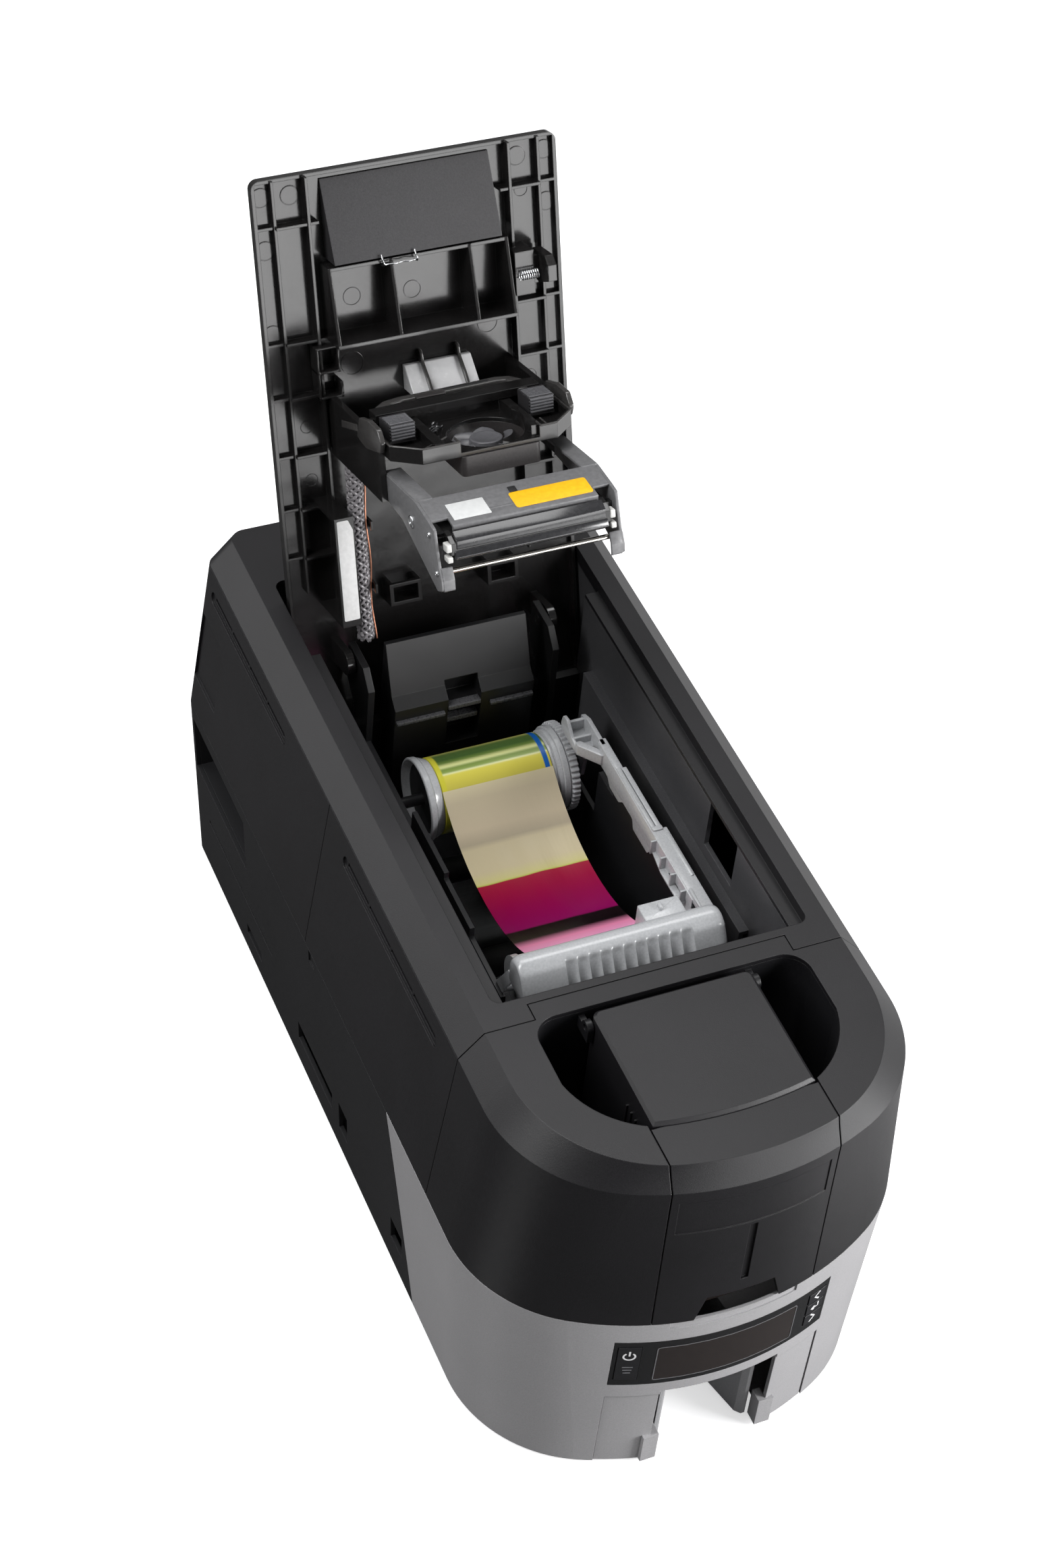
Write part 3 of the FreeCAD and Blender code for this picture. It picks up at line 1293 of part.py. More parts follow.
head_cable = tube(cable_points, cable_r)
clip_ys = (296.0, 330.0)
clip_wide = 5.0
clip_wall = 1.2
clip_low_z = 198.0
clip_mid_z = 204.5
clips = []
for y in clip_ys:
    clip_x = cable_r + clip_wall
    clip = box(cable_x - clip_x, cable_x + clip_x, y, y + clip_wide, clip_low_z, inner_z)
    clip = clip.cut(box(cable_x - cable_r, cable_x + cable_r, 0, long, 0, clip_mid_z))
    clips.append(clip.cut(head_cable))
lid_shell = join([lid_shell] + clips).cut(head_cable)

# Spring latch of the lid near the right edge
latch_x0 = 61.0
latch_x1 = 66.0
latch_y0 = 180.0
latch_y1 = 194.0
latch_low_z = 196.0
latch_bar_low_z = 209.0
latch_bar_high_z = 217.0
latch_travel = 2.0
latch_inner_x = 54.0
latch_hook_set = 2.0
latch_hook_rise = 4.0
housing_x0 = 48.5
housing_x1 = 58.5
housing_wall = 4.0
latch_space_y0 = latch_y0 - move_gap
latch_space_y1 = latch_y1 + move_gap
latch_space_z0 = latch_bar_low_z - move_gap
latch_space_z1 = latch_bar_high_z + move_gap
housing = box(housing_x0, housing_x1, latch_y0 - housing_wall, latch_y1 + housing_wall,
    latch_space_z0 - wall, inner_z)
latch_space = box(latch_inner_x - move_gap, latch_x1 + wall, latch_space_y0, latch_space_y1,
    latch_space_z0, latch_space_z1)
lid_shell = join([lid_shell, housing]).cut(latch_space)
latch_bar_x = latch_inner_x + latch_travel + rest_gap
latch_bar = box(latch_bar_x, latch_x1, latch_y0, latch_y1, latch_bar_low_z, latch_bar_high_z)
hook_top_z = latch_bar_high_z - latch_hook_set
hook_y0 = latch_y0 - latch_hook_set
hook_points = [(hook_y0, hook_top_z), (hook_y0, latch_low_z + latch_hook_rise),
    (latch_y0 + latch_hook_set, latch_low_z)]
hook_points += [(latch_y1 - latch_hook_rise, latch_low_z), (latch_y1, latch_bar_low_z), (latch_y1,
    hook_top_z)]
latch_hook = slab_x(hook_points, latch_x0 + move_gap, latch_x1)
lid_latch = join([latch_bar, latch_hook])


def thumb_tab(side):
    x0 = min(side * tab_x0, side * tab_x1)
    x1 = max(side * tab_x0, side * tab_x1)
    face = box(x0, x1, tab_y0, tray_y0 - 3 * move_gap, tab_low_z, tab_high_z)
    grooves = []
    for i in range(tab_lines):
        z = tab_low_z + (i + 0.5) * tab_pitch
        y = tab_y0 + (i + 0.5) * tab_pitch
        groove = tab_pitch / 2.5
        grooves.append(box(x0 - over, x1 + over, tab_y0 - over, tab_y0 + tab_line_deep, z, z + groove))
        grooves.append(box(x0 - over, x1 + over, y, y + groove, tab_low_z - over,
            tab_low_z + tab_line_deep))
    face = face.cut(grooves)
    stem_z0 = tab_low_z + wall + move_gap
    stem_z1 = tab_high_z - wall - move_gap
    stem = box(x0 + wall, x1 - wall, tray_y0 - 3 * move_gap, tray_y1 + 4 * move_gap, stem_z0, stem_z1)
    return join([face, stem])


# Swing the lid group open about its hinge and shift all to the origin
nodes = {}
lid_nodes = {
    "lid_shell": lid_shell,
    "lid_panel": lid_panel,
    "head_carrier": head_carrier,
    "fan_frame": fan_frame,
    "fan_rotor": fan_rotor,
    "head_bracket": head_bracket,
    "head_rod": head_rod,
    "printhead": printhead,
    "head_plate": head_plate,
    "head_cable": head_cable,
    "lid_latch": lid_latch,
    "thumb_tab_left": thumb_tab(-1),
    "thumb_tab_right": thumb_tab(1),
}
for name, shape in lid_nodes.items():
    shape.rotate(V(0, hinge_y, hinge_z), V(1, 0, 0), -lid_open_deg)
    nodes[name] = shape

nodes.update({
    "base_shell": base_shell,
    "front_shell": front_shell,
    "leg_panel_left": leg_panel(-1),
    "leg_panel_right": leg_panel(1),
    "output_bay": output_bay,
    "display_panel": display_panel,
    "display_glass": display_glass,
    "power_key": key(-1, power_low_z, power_high_z),
    "front_cover": front_cover,
    "hopper_well": hopper_well,
    "hopper_cover": hopper_cover,
    "hopper_door": hopper_door,
    "top_frame": top_frame,
    "side_panel_left": side_panel(-1),
    "side_panel_right": side_panel(1),
    "rear_cover": rear_cover,
    "grip_cup_left": grip_cup(-1),
    "grip_cup_right": grip_cup(1),
    "power_inlet": power_inlet,
    "data_ports": data_ports,
    "chassis_plate": chassis_plate,
    "side_frame_left": side_frame(-1),
    "side_frame_right": side_frame(1),
    "platen_roller": roller(platen_y, platen_z, platen_r),
    "feed_roller": roller(in_roller_y, roller_z, roller_r),
    "exit_roller": roller(out_roller_y, roller_z, roller_r),
    "bay_liner": bay_liner,
    "bay_rear_block": bay_rear_block,
    "supply_spool": supply_spool,
    "supply_film": wound(supply_y, supply_z, wound_r, core_r),
    "takeup_spool": takeup_spool,
    "takeup_film": wound(takeup_y, takeup_z, takeup_wound_r, takeup_core_r),
    "film_web": web_sheet(),
    "cartridge_frame": cartridge_frame,
    "hopper_tray": hopper_tray,
    "card_stack": card_stack,
    "pick_roller": pick_roller,
    "power_supply": power_supply,
    "main_board": main_board,
    "drive_motor": drive_motor,
})
for name, (z0, z1) in zip(nav_names, nav_spans):
    nodes[name] = key(1, z0, z1)
for i, (side, share) in enumerate([(side, share) for share in foot_shares for side in (-1, 1)]):
    nodes["foot_%d" % (i + 1)] = rod_z(side * foot_x, share * body_length, 0, bottom_z, foot_r)

# The nose of the seam line is the foremost point, the open lid's edge the rearmost
middle_y = nodes["lid_shell"].BoundBox.YMax / 2
for name, shape in nodes.items():
    shape.translate(V(0, -middle_y, 0))
    print(name, len(shape.Solids), shape.isValid(), round(shape.Volume, 1))
    shape.exportStep("parts/" + name + ".step")
print("nodes", len(nodes), "middle", round(middle_y, 3))
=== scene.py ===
import math

import bmesh
import bpy
import numpy as np
from mathutils import Matrix, Vector


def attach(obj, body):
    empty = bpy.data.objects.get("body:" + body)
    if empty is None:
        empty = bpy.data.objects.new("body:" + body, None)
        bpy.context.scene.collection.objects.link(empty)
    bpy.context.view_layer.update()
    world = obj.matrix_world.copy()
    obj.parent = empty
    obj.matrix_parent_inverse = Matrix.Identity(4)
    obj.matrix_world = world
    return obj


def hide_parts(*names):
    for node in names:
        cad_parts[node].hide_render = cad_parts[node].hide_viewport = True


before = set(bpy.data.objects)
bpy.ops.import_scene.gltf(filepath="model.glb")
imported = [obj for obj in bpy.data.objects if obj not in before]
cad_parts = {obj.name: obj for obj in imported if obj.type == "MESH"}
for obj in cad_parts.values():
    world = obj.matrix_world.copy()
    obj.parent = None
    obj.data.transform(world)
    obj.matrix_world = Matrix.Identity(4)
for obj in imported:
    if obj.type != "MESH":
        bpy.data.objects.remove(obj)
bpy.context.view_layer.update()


# Studio camera: a long lens high up in front of the printer and to its left,
# so that the open lid, the ribbon in its bay and the card hopper all show.
def in_scene(name, data):
    """A new object of this name, made of its mesh, lamp or camera and put in the scene at the origin."""
    made = bpy.data.objects.new(name, data)
    bpy.context.scene.collection.objects.link(made)
    return made


eye = Vector((-0.4927, -0.9311, 1.2970))
look = Vector((0.3211, 0.6239, -0.7126)).normalized()
near_up = Vector((0.2250, 0.6808, 0.6973))
camera_right = look.cross(near_up).normalized()
camera_up = camera_right.cross(look)
camera_data = bpy.data.cameras.new("studio_camera")
camera_data.lens = 72.4
camera_data.sensor_width = 36.0
camera_data.clip_end = 20.0
camera = in_scene("studio_camera", camera_data)
turn = Matrix((camera_right, camera_up, -look)).transposed()
camera.matrix_world = Matrix.Translation(eye) @ turn.to_4x4()
bpy.context.scene.camera = camera
bpy.context.scene.view_settings.view_transform = "Standard"


# Studio floor: one pale glossy sheet just under the feet. The camera sees it
# near white, and mirrors see it dark on the left and pale on the right.
def new_material(name):
    """An empty node material: returns the material, its node tree and its shader, joined to the output."""
    material = bpy.data.materials.new(name)
    material.use_nodes = True
    tree = material.node_tree
    tree.nodes.clear()
    output = tree.nodes.new("ShaderNodeOutputMaterial")
    shader = tree.nodes.new("ShaderNodeBsdfPrincipled")
    tree.links.new(shader.outputs["BSDF"], output.inputs["Surface"])
    return material, tree, shader


def give(node, sockets):
    """Fills a node's sockets: another node's output is linked, and anything else is set as a constant."""
    for key, value in sockets.items():
        if isinstance(value, bpy.types.NodeSocket):
            node.id_data.links.new(value, node.inputs[key])
        else:
            node.inputs[key].default_value = value
    return node


def add(tree, kind, sockets, **settings):
    """A new shader node of one kind: its own settings first, then its sockets as `give` fills them."""
    made = tree.nodes.new("ShaderNode" + kind)
    for key, value in settings.items():
        setattr(made, key, value)
    return give(made, sockets)


def noise(tree, place, scale, detail=2.0):
    """Cloud noise read at `place`, with `scale` cells to the metre and `detail` finer layers."""
    return add(tree, "TexNoise", {"Vector": place, "Scale": scale, "Detail": detail}).outputs["Fac"]


def ranged(tree, value, low, high, start=0.0, end=1.0):
    """A value that goes from `low` to `high` while `value` goes from `start` to `end`, and stops there."""
    sockets = {"Value": value, "From Min": start, "From Max": end, "To Min": low, "To Max": high}
    return add(tree, "MapRange", sockets).outputs["Result"]


def blend(tree, share, first, second, kind="MIX"):
    """A colour that goes from the first to the second as `share` goes from 0 to 1."""
    sockets = {0: share, 6: first, 7: second}
    return add(tree, "Mix", sockets, data_type="RGBA", blend_type=kind).outputs[2]


def studio_floor():
    """Pale floor: near white and lifted for camera rays, and for other rays a grey that grows with x."""
    material, tree, shader = new_material("studio_floor")
    place = add(tree, "TexCoord", {}).outputs["Object"]
    across = add(tree, "SeparateXYZ", {"Vector": place}).outputs["X"]
    camera_ray = add(tree, "LightPath", {}).outputs["Is Camera Ray"]
    shown = blend(tree, noise(tree, place, 3.0), (0.80, 0.80, 0.81, 1), (0.84, 0.84, 0.85, 1))
    mirrored = ranged(tree, across, 0.07, 0.85, 0.12, 0.45)
    lift = add(tree, "Math", {0: camera_ray, 1: 0.55}, operation="MULTIPLY").outputs[0]
    give(shader, {"Base Color": blend(tree, camera_ray, mirrored, shown), "Roughness": 0.14,
                  "Emission Color": (1, 1, 1, 1), "Emission Strength": lift})
    return material


def flat_sheet(name, half, height, material):
    """One level square face: its corners lie `half` metres either way of the origin, at one height."""
    mesh = bpy.data.meshes.new(name)
    corners = [(-half, -half, height), (half, -half, height), (half, half, height), (-half, half, height)]
    mesh.from_pydata(corners, [], [(0, 1, 2, 3)])
    mesh.materials.append(material)
    made = in_scene(name, mesh)


flat_sheet("floor", 6.0, -0.0002, studio_floor())

# Studio surround and lamps: white all round, full where it is seen and dim
# where it lights, with five softboxes. A softbox has its place and its aim in
# metres, its width, its height and its watts.
world = bpy.data.worlds.new("studio_world")
bpy.context.scene.world = world
world.use_nodes = True
sky = world.node_tree
rays = add(sky, "LightPath", {}).outputs
seen_rays = {0: rays["Is Camera Ray"], 1: rays["Is Transmission Ray"]}
seen = add(sky, "Math", seen_rays, operation="MAXIMUM").outputs[0]
give(sky.nodes["Background"], {"Color": (1, 1, 1, 1), "Strength": ranged(sky, seen, 0.15, 1.0)})


def softbox(name, place, aim, wide, tall, watts):
    """A rectangular lamp at `place`, turned so that it shines along the line from there to `aim`."""
    lamp = bpy.data.lights.new(name, "AREA")
    lamp.shape = "RECTANGLE"
    lamp.size = wide
    lamp.size_y = tall
    lamp.energy = watts
    holder = in_scene(name, lamp)
    holder.location = place
    holder.rotation_mode = "QUATERNION"
    holder.rotation_quaternion = (Vector(aim) - Vector(place)).to_track_quat("-Z", "Y")


softbox("left_softbox", (-1.7, -0.1, 2.1), (0, 0.05, 0.2), 0.7, 2.0, 44)
softbox("top_softbox", (0.1, 0.9, 2.6), (0, 0.0, 0.2), 2.2, 1.0, 30)
softbox("front_softbox", (0.85, -2.3, 0.50), (0, 0.1, 0.3), 1.5, 0.8, 18)
softbox("right_softbox", (1.7, -1.4, 0.9), (0, -0.15, 0.1), 0.8, 1.2, 70)
softbox("rear_left_softbox", (-1.6, 1.45, 0.85), (0, 0.05, 0.15), 1.0, 1.0, 8)


# Black outer shell: moulded panels of fine grained matt plastic, clipped over
# the base. Every panel is the solid itself, with the mould's spark grain, a
# slow change of tone and a softened edge in its finish.
def toned(tone, share):
    """A colour times `share`, held at 1 and made opaque."""
    return (*[min(1, c * share) for c in tone], 1)


def moulded(name, tone, rough, grain, depth, soft=0.0005, shift=0.12, coat=0.0, wave=0.0):
    """Moulded plastic: the tone moves by `shift` in slow clouds, fine grain of `grain` cells per metre
    stands `depth` millimetres high, edges are rounded by `soft` metres in the shading, and `wave` is the
    strength of a slow swell in a large thin wall."""
    material, tree, shader = new_material(name)
    place = add(tree, "TexCoord", {}).outputs["Object"]
    spark = noise(tree, place, grain)
    cloud = ranged(tree, noise(tree, place, 16.0, 4.0), 0.0, 1.0, 0.3, 0.7)
    colour = blend(tree, cloud, toned(tone, 1 - shift), toned(tone, 1 + shift))
    edge = add(tree, "Bevel", {"Radius": soft}, samples=4)
    skin = add(tree, "Bump", {"Strength": 0.6, "Distance": depth / 1000, "Height": spark,
                              "Normal": edge.outputs["Normal"]})
    if wave:
        swell = noise(tree, place, 55.0, 1.0)
        skin = add(tree, "Bump", {"Strength": wave, "Distance": 0.001, "Height": swell,
                                  "Normal": skin.outputs["Normal"]})
    give(shader, {"Base Color": blend(tree, 0.35, colour, spark, "SOFT_LIGHT"),
                  "Roughness": ranged(tree, spark, rough - 0.05, rough + 0.05),
                  "Normal": skin.outputs["Normal"], "Coat Weight": coat, "Coat Roughness": 0.12})
    return material


def dress(material, *names):
    """Puts one material on the solids of these names."""
    for name in names:
        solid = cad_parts[name]
        if not solid.material_slots:
            solid.data.materials.append(material)
        for holder in solid.material_slots:
            holder.material = material


shell_black = moulded("grained_black_shell", (0.0085, 0.008, 0.0095), 0.43, 1500, 0.05, shift=0.2)
dress(shell_black, "front_cover", "top_frame", "side_panel_left", "side_panel_right", "rear_cover",
      "hopper_cover", "hopper_door")
base_black = moulded("base_black", (0.010, 0.010, 0.0115), 0.55, 1500, 0.05)
dress(base_black, "base_shell", "grip_cup_left", "grip_cup_right")

# Grey lower shell: satin painted plastic wrapped round the front, with two
# leg panels clipped on either side of the card output and a darker bay.
shell_grey = moulded("satin_grey_shell", (0.36, 0.355, 0.365), 0.42, 1700, 0.03, shift=0.03)
dress(shell_grey, "front_shell", "leg_panel_left", "leg_panel_right")
bay_grey = moulded("bay_grey", (0.32, 0.32, 0.33), 0.45, 1500, 0.03, shift=0.05)
dress(bay_grey, "output_bay")

# Display panel, its dark glass and the keys: glossy and satin black plastic,
# set flush in the grey front. The keys move in their own holes.
panel_black = moulded("panel_black", (0.012, 0.012, 0.013), 0.22, 900, 0.004, soft=0.0003, coat=0.4)
dress(panel_black, "display_panel")
glass_dark = moulded("display_glass_dark", (0.020, 0.015, 0.014), 0.08, 400, 0.001, soft=0.0002, coat=1.0)
dress(glass_dark, "display_glass")
key_black = moulded("key_black", (0.016, 0.016, 0.018), 0.38, 1400, 0.02, soft=0.0004)
dress(key_black, "power_key", "key_left", "key_enter", "key_right")

# Hopper well, side frames, bay liner and rear block: black mouldings screwed
# into the base, smoother than the shell. The large thin ones swell a little.
inner_black = moulded("inner_black", (0.010, 0.010, 0.0115), 0.40, 1100, 0.03)
dress(inner_black, "hopper_well", "hopper_tray", "side_frame_left", "side_frame_right")
# The bay liner is drawn in a grey several times lighter than the other black mouldings: painted sheen on the
# bay's walls.
liner_black = moulded("bay_liner_black", (0.06, 0.06, 0.064), 0.30, 1100, 0.02, soft=0.0006, wave=0.1)
dress(liner_black, "bay_liner")
block_black = moulded("rear_block_black", (0.004, 0.004, 0.0045), 0.42, 1100, 0.02, soft=0.0006, wave=0.15)
dress(block_black, "bay_rear_block")

# Lid, head carrier, latch and print head: gloss black mouldings that swing as
# one. The sloped panel and the thumb tabs are matt, and the fan's frame satin.
lid_black = moulded("lid_gloss_black", (0.010, 0.0095, 0.0095), 0.17, 700, 0.006, soft=0.0007, wave=0.2,
                    coat=0.35)
dress(lid_black, "lid_shell", "head_carrier", "lid_latch", "printhead")
lid_matt = moulded("lid_matt_black", (0.027, 0.026, 0.028), 0.40, 1300, 0.03)
dress(lid_matt, "lid_panel", "thumb_tab_left", "thumb_tab_right")
fan_shell = moulded("fan_shell", (0.036, 0.033, 0.033), 0.32, 900, 0.01)
dress(fan_shell, "fan_frame")

# Take up spool: a light grey glossy moulding, as the whole cartridge is.
# Rollers have matt rubber sleeves, and the feet are pads of the same rubber.
cartridge_grey = moulded("cartridge_grey", (0.45, 0.46, 0.475), 0.24, 900, 0.002, shift=0.03, wave=0.05,
                         coat=0.5)
dress(cartridge_grey, "takeup_spool")
rubber = moulded("roller_rubber", (0.02, 0.02, 0.02), 0.62, 1200, 0.03)
dress(rubber, "platen_roller", "feed_roller", "exit_roller", "pick_roller", "foot_1", "foot_2", "foot_3",
      "foot_4")


# Metal parts: zinc plated sheet inside the base and the head's bright steel
# rod, each with the fine streaks that drawing and rolling leave.
def metal(name, tone, rough, streak, stretch=(1, 1, 1)):
    """Metal with fine drawn streaks: noise stretched by `stretch` along one axis varies tone and gloss."""
    material, tree, shader = new_material(name)
    place = add(tree, "TexCoord", {}).outputs["Object"]
    drawn = add(tree, "Mapping", {"Vector": place, "Scale": stretch}).outputs["Vector"]
    grain = noise(tree, drawn, streak, 5.0)
    edge = add(tree, "Bevel", {"Radius": 0.0004}, samples=4)
    skin = add(tree, "Bump", {"Strength": 0.4, "Distance": 0.00001, "Height": grain,
                              "Normal": edge.outputs["Normal"]})
    give(shader, {"Base Color": blend(tree, grain, toned(tone, 0.86), toned(tone, 1.12)), "Metallic": 1.0,
                  "Roughness": ranged(tree, grain, rough - 0.06, rough + 0.08),
                  "Normal": skin.outputs["Normal"]})
    return material


zinc = metal("zinc_plate", (0.50, 0.51, 0.52), 0.36, 60, (1, 12, 1))
dress(zinc, "chassis_plate", "power_supply", "drive_motor", "data_ports")
bright = metal("bright_rod", (0.86, 0.82, 0.76), 0.12, 200, (6, 1, 1))
dress(bright, "head_rod")

# Power inlet, cards and circuit board: a black moulded socket, glossy white
# card stock lying in the hopper, and green lacquered board on the chassis.
inlet_black = moulded("inlet_black", (0.02, 0.02, 0.021), 0.35, 900, 0.01)
dress(inlet_black, "power_inlet")
card_white = moulded("card_white", (0.80, 0.80, 0.79), 0.30, 300, 0.004, shift=0.02, coat=0.3)
dress(card_white, "card_stack")
board_green = moulded("board_green", (0.015, 0.10, 0.045), 0.35, 500, 0.02, shift=0.25)
dress(board_green, "main_board")

# Wound supply film: tight turns of clear yellow over green on the spool, with
# a blue band at the gear end, between a grey drum and a grey cone. Round the
# axle its colour also holds painted light: pale rows of painted sheen, a painted
# highlight, and dark green bands that are partly painted reflection. An axle is
# its y and z in millimetres, with y from the nose line.
supply_axle = (312.0, 155.0)
origin_from_nose = 235.337


def desk(points):
    """Body points in millimetres from the nose line, moved to the frame: y less the origin's own y, then all
    over 1000."""
    return (np.asarray(points, float) - (0, origin_from_nose, 0)) / 1000


def skins(name, stacks, material, body, place=desk, caps=True, slot=None):
    """One mesh from stacks of rings of points: each ring closes round and joins the next in quads, and the
    first and last rings are closed by a flat face when `caps`."""
    points, faces, start = [], [], 0
    for rows in stacks:
        rows = np.asarray(rows, float)
        high, wide = rows.shape[:2]
        grid = start + np.arange(high * wide).reshape(high, wide)
        beside = np.roll(grid, -1, 1)
        faces += np.stack([grid[:-1], beside[:-1], beside[1:], grid[1:]], -1).reshape(-1, 4).tolist()
        if caps:
            faces += [grid[0][::-1].tolist(), grid[-1].tolist()]
        points.append(place(rows.reshape(-1, 3)))
        start += high * wide
    mesh = bpy.data.meshes.new(name)
    mesh.from_pydata(np.concatenate(points).tolist(), [], faces)
    work = bmesh.new()
    work.from_mesh(mesh)
    bmesh.ops.recalc_face_normals(work, faces=work.faces)
    work.to_mesh(mesh)
    work.free()
    crease_angle = 38
    mesh.polygons.foreach_set("use_smooth", np.ones(len(mesh.polygons), bool))
    mesh.set_sharp_from_angle(angle=math.radians(crease_angle))
    mesh.materials.append(material)
    made = in_scene(name, mesh)
    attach(made, body)
    return made


def turned(profile, axle, count=72, wobble=0.0):
    """Rings about an axle along X: profile rows are (x, radius), and `wobble` takes up to that many
    millimetres off the radius, three times round."""
    profile = np.asarray(profile, float)
    angle = np.linspace(0, 2 * math.pi, count, endpoint=False)
    radius = profile[:, 1:] - wobble * (0.5 + 0.5 * np.sin(3 * angle))
    x = np.repeat(profile[:, :1], count, 1)
    return np.stack([x, axle[0] - radius * np.cos(angle), axle[1] + radius * np.sin(angle)], -1)


def both_ends(end, middle):
    """A roll's profile from one end's rows of (x, radius): the rows at -x, the middle row, the rows back."""
    return [(-x, radius) for x, radius in end] + [middle] + end[::-1]


def colour_ramp(tree, value, stops):
    """A colour read from a ramp of (place, tone) stops, where `value` is the place."""
    ramp = add(tree, "ValToRGB", {"Fac": value})
    marks = ramp.color_ramp.elements
    marks.remove(marks[1])
    for i, (at, tone) in enumerate(stops):
        mark = marks.new(at) if i else marks[0]
        mark.position = at
        mark.color = (*tone, 1)
    return ramp.outputs["Color"]


def film_material(name, stops, axle=None, bands=()):
    """Glossy dye film with fine creases: a colour ramp read once round `axle`, or along the piece's own
    `run` value where there is no axle. A band is (from x, to x, softness, tone), laid over the ramp."""
    material, tree, shader = new_material(name)
    place = add(tree, "TexCoord", {}).outputs["Object"]
    if axle:
        round_axle = {"Vector": place, "Location": desk((0, *axle)), "Rotation": (0, math.pi / 2, 0)}
        wheel = add(tree, "Mapping", round_axle, vector_type="TEXTURE").outputs["Vector"]
        value = add(tree, "TexGradient", {"Vector": wheel}, gradient_type="RADIAL").outputs["Fac"]
    else:
        value = add(tree, "Attribute", {}, attribute_name="run").outputs["Fac"]
    colour = colour_ramp(tree, value, stops)
    x = add(tree, "SeparateXYZ", {"Vector": place}).outputs["X"]
    reach, black, white = 0.04, (0, 0, 0), (1, 1, 1)
    for low, high, soft, tone in bands:
        start, end = (low + reach) / (2 * reach), (high + reach) / (2 * reach)
        edges = [(0.0, black), (start - soft, black), (start, white), (end, white), (end + soft, black)]
        share = colour_ramp(tree, ranged(tree, x, 0.0, 1.0, -reach, reach), edges)
        colour = blend(tree, share, colour, (*tone, 1))
    drawn = add(tree, "Mapping", {"Vector": place, "Scale": (30, 3, 3)}).outputs["Vector"]
    crease = noise(tree, drawn, 9.0, 3.0)
    skin = add(tree, "Bump", {"Strength": 0.25, "Distance": 0.0006, "Height": crease})
    give(shader, {"Base Color": colour, "Normal": skin.outputs["Normal"],
                  "Roughness": ranged(tree, crease, 0.26, 0.36), "Specular IOR Level": 0.25,
                  "Coat Weight": 0.05, "Coat Roughness": 0.08})
    return material


# Stops round the roll's axle: the pale ends of the ramp are painted sheen and the bright stop at 0.041 a
# painted highlight; the dark green bands are partly the film's green and partly painted reflection.
roll_tones_and_painted_sheen = [(0.0, (0.64, 0.66, 0.28)), (0.008, (0.66, 0.70, 0.32)), (0.018, (0.20, 0.29, 0.06)),
              (0.034, (0.26, 0.36, 0.08)), (0.041, (0.80, 0.82, 0.45)), (0.048, (0.70, 0.63, 0.09)),
              (0.10, (0.58, 0.52, 0.08)), (0.14, (0.53, 0.48, 0.10)), (0.5, (0.48, 0.43, 0.08)),
              (0.75, (0.50, 0.46, 0.12)), (0.875, (0.58, 0.53, 0.15)), (0.90, (0.42, 0.44, 0.12)),
              (0.92, (0.09, 0.16, 0.04)), (0.965, (0.06, 0.12, 0.03)), (0.985, (0.15, 0.23, 0.05)),
              (1.0, (0.64, 0.66, 0.28))]
leader_band = (-0.0298, -0.0275, 0.01, (0.62, 0.58, 0.05))
blue_band = (0.0262, 0.0285, 0.004, (0.01, 0.11, 0.42))
supply_yellow = film_material("supply_yellow_film", roll_tones_and_painted_sheen, supply_axle, [leader_band, blue_band])
supply_turns = both_ends([(30.0, 10), (30.0, 17.5), (29.9, 19.6), (29.6, 19.95), (28, 20)], (0, 19.96))
supply_roll = skins("supply_roll", [turned(supply_turns, supply_axle, 96, 0.05)], supply_yellow,
                    "supply_reel", slot="film_yellow")
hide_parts("supply_film")
drum_profile = [(30.2, 9.6), (30.2, 19.2), (30.5, 19.6), (31.6, 19.6), (31.9, 19.2), (32.2, 19.2),
                (32.5, 20.6), (34.4, 20.9), (34.4, 9.6)]
cone_profile = [(-30.2, 9.6), (-30.2, 19.7), (-31.0, 20.0), (-33.4, 21.0), (-34.4, 21.2), (-34.4, 9.6)]
for name, profile in (("supply_end_drum", drum_profile), ("supply_end_cone", cone_profile)):
    skins(name, [turned(profile, supply_axle)], cartridge_grey, "supply_reel", slot="light_grey")


# Supply spool: a light grey moulding with a cupped flange at the left and a
# flange with a 48 tooth gear at the right, turning on a black shaft.
def gear(x0, x1, axle, tip, teeth, deep):
    """A toothed ring: the radius goes from root to tip and back once per tooth with eased flanks, and the
    outer face is sunk inside four fifths of the root."""
    around = np.linspace(0, 2 * math.pi, teeth * 8, endpoint=False)
    wave = np.clip(0.5 + 1.1 * np.cos(around * teeth), 0, 1)
    root, bevel, sunk = tip - deep, 0.4, 0.9
    eased_ends = ((x0, 0.5), (x0 + bevel, 0.0), (x1 - bevel, 0.0), (x1, 0.5))
    rings = [(x, root + (deep - ease) * wave) for x, ease in eased_ends]
    rings += [(x1, 0.8 * root), (x1 - sunk, 0.8 * root)]
    x, radius = (np.array([row + 0 * wave for row in column]) for column in zip(*rings))
    return np.stack([x, axle[0] + radius * np.cos(around), axle[1] + radius * np.sin(around)], -1)


spool_profile = [(-34.6, 3.1), (-34.6, 18.4), (-35.0, 19.0), (-37.9, 20.3), (-38.3, 20.8), (-38.2, 21.6),
                 (-37.7, 22.0), (-35.2, 21.9), (-34.5, 21.3), (-34.4, 9.0), (34.4, 9.0), (34.4, 21.4),
                 (34.8, 22.0), (37.5, 22.0), (37.9, 21.4), (37.9, 3.1)]
spool_parts = [turned(spool_profile, supply_axle, 96), gear(38.1, 42.5, supply_axle, 23.5, 48, 1.5)]
supply_spool = skins("supply_spool_moulding", spool_parts, cartridge_grey, "supply_reel", slot="light_grey")
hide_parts("supply_spool")
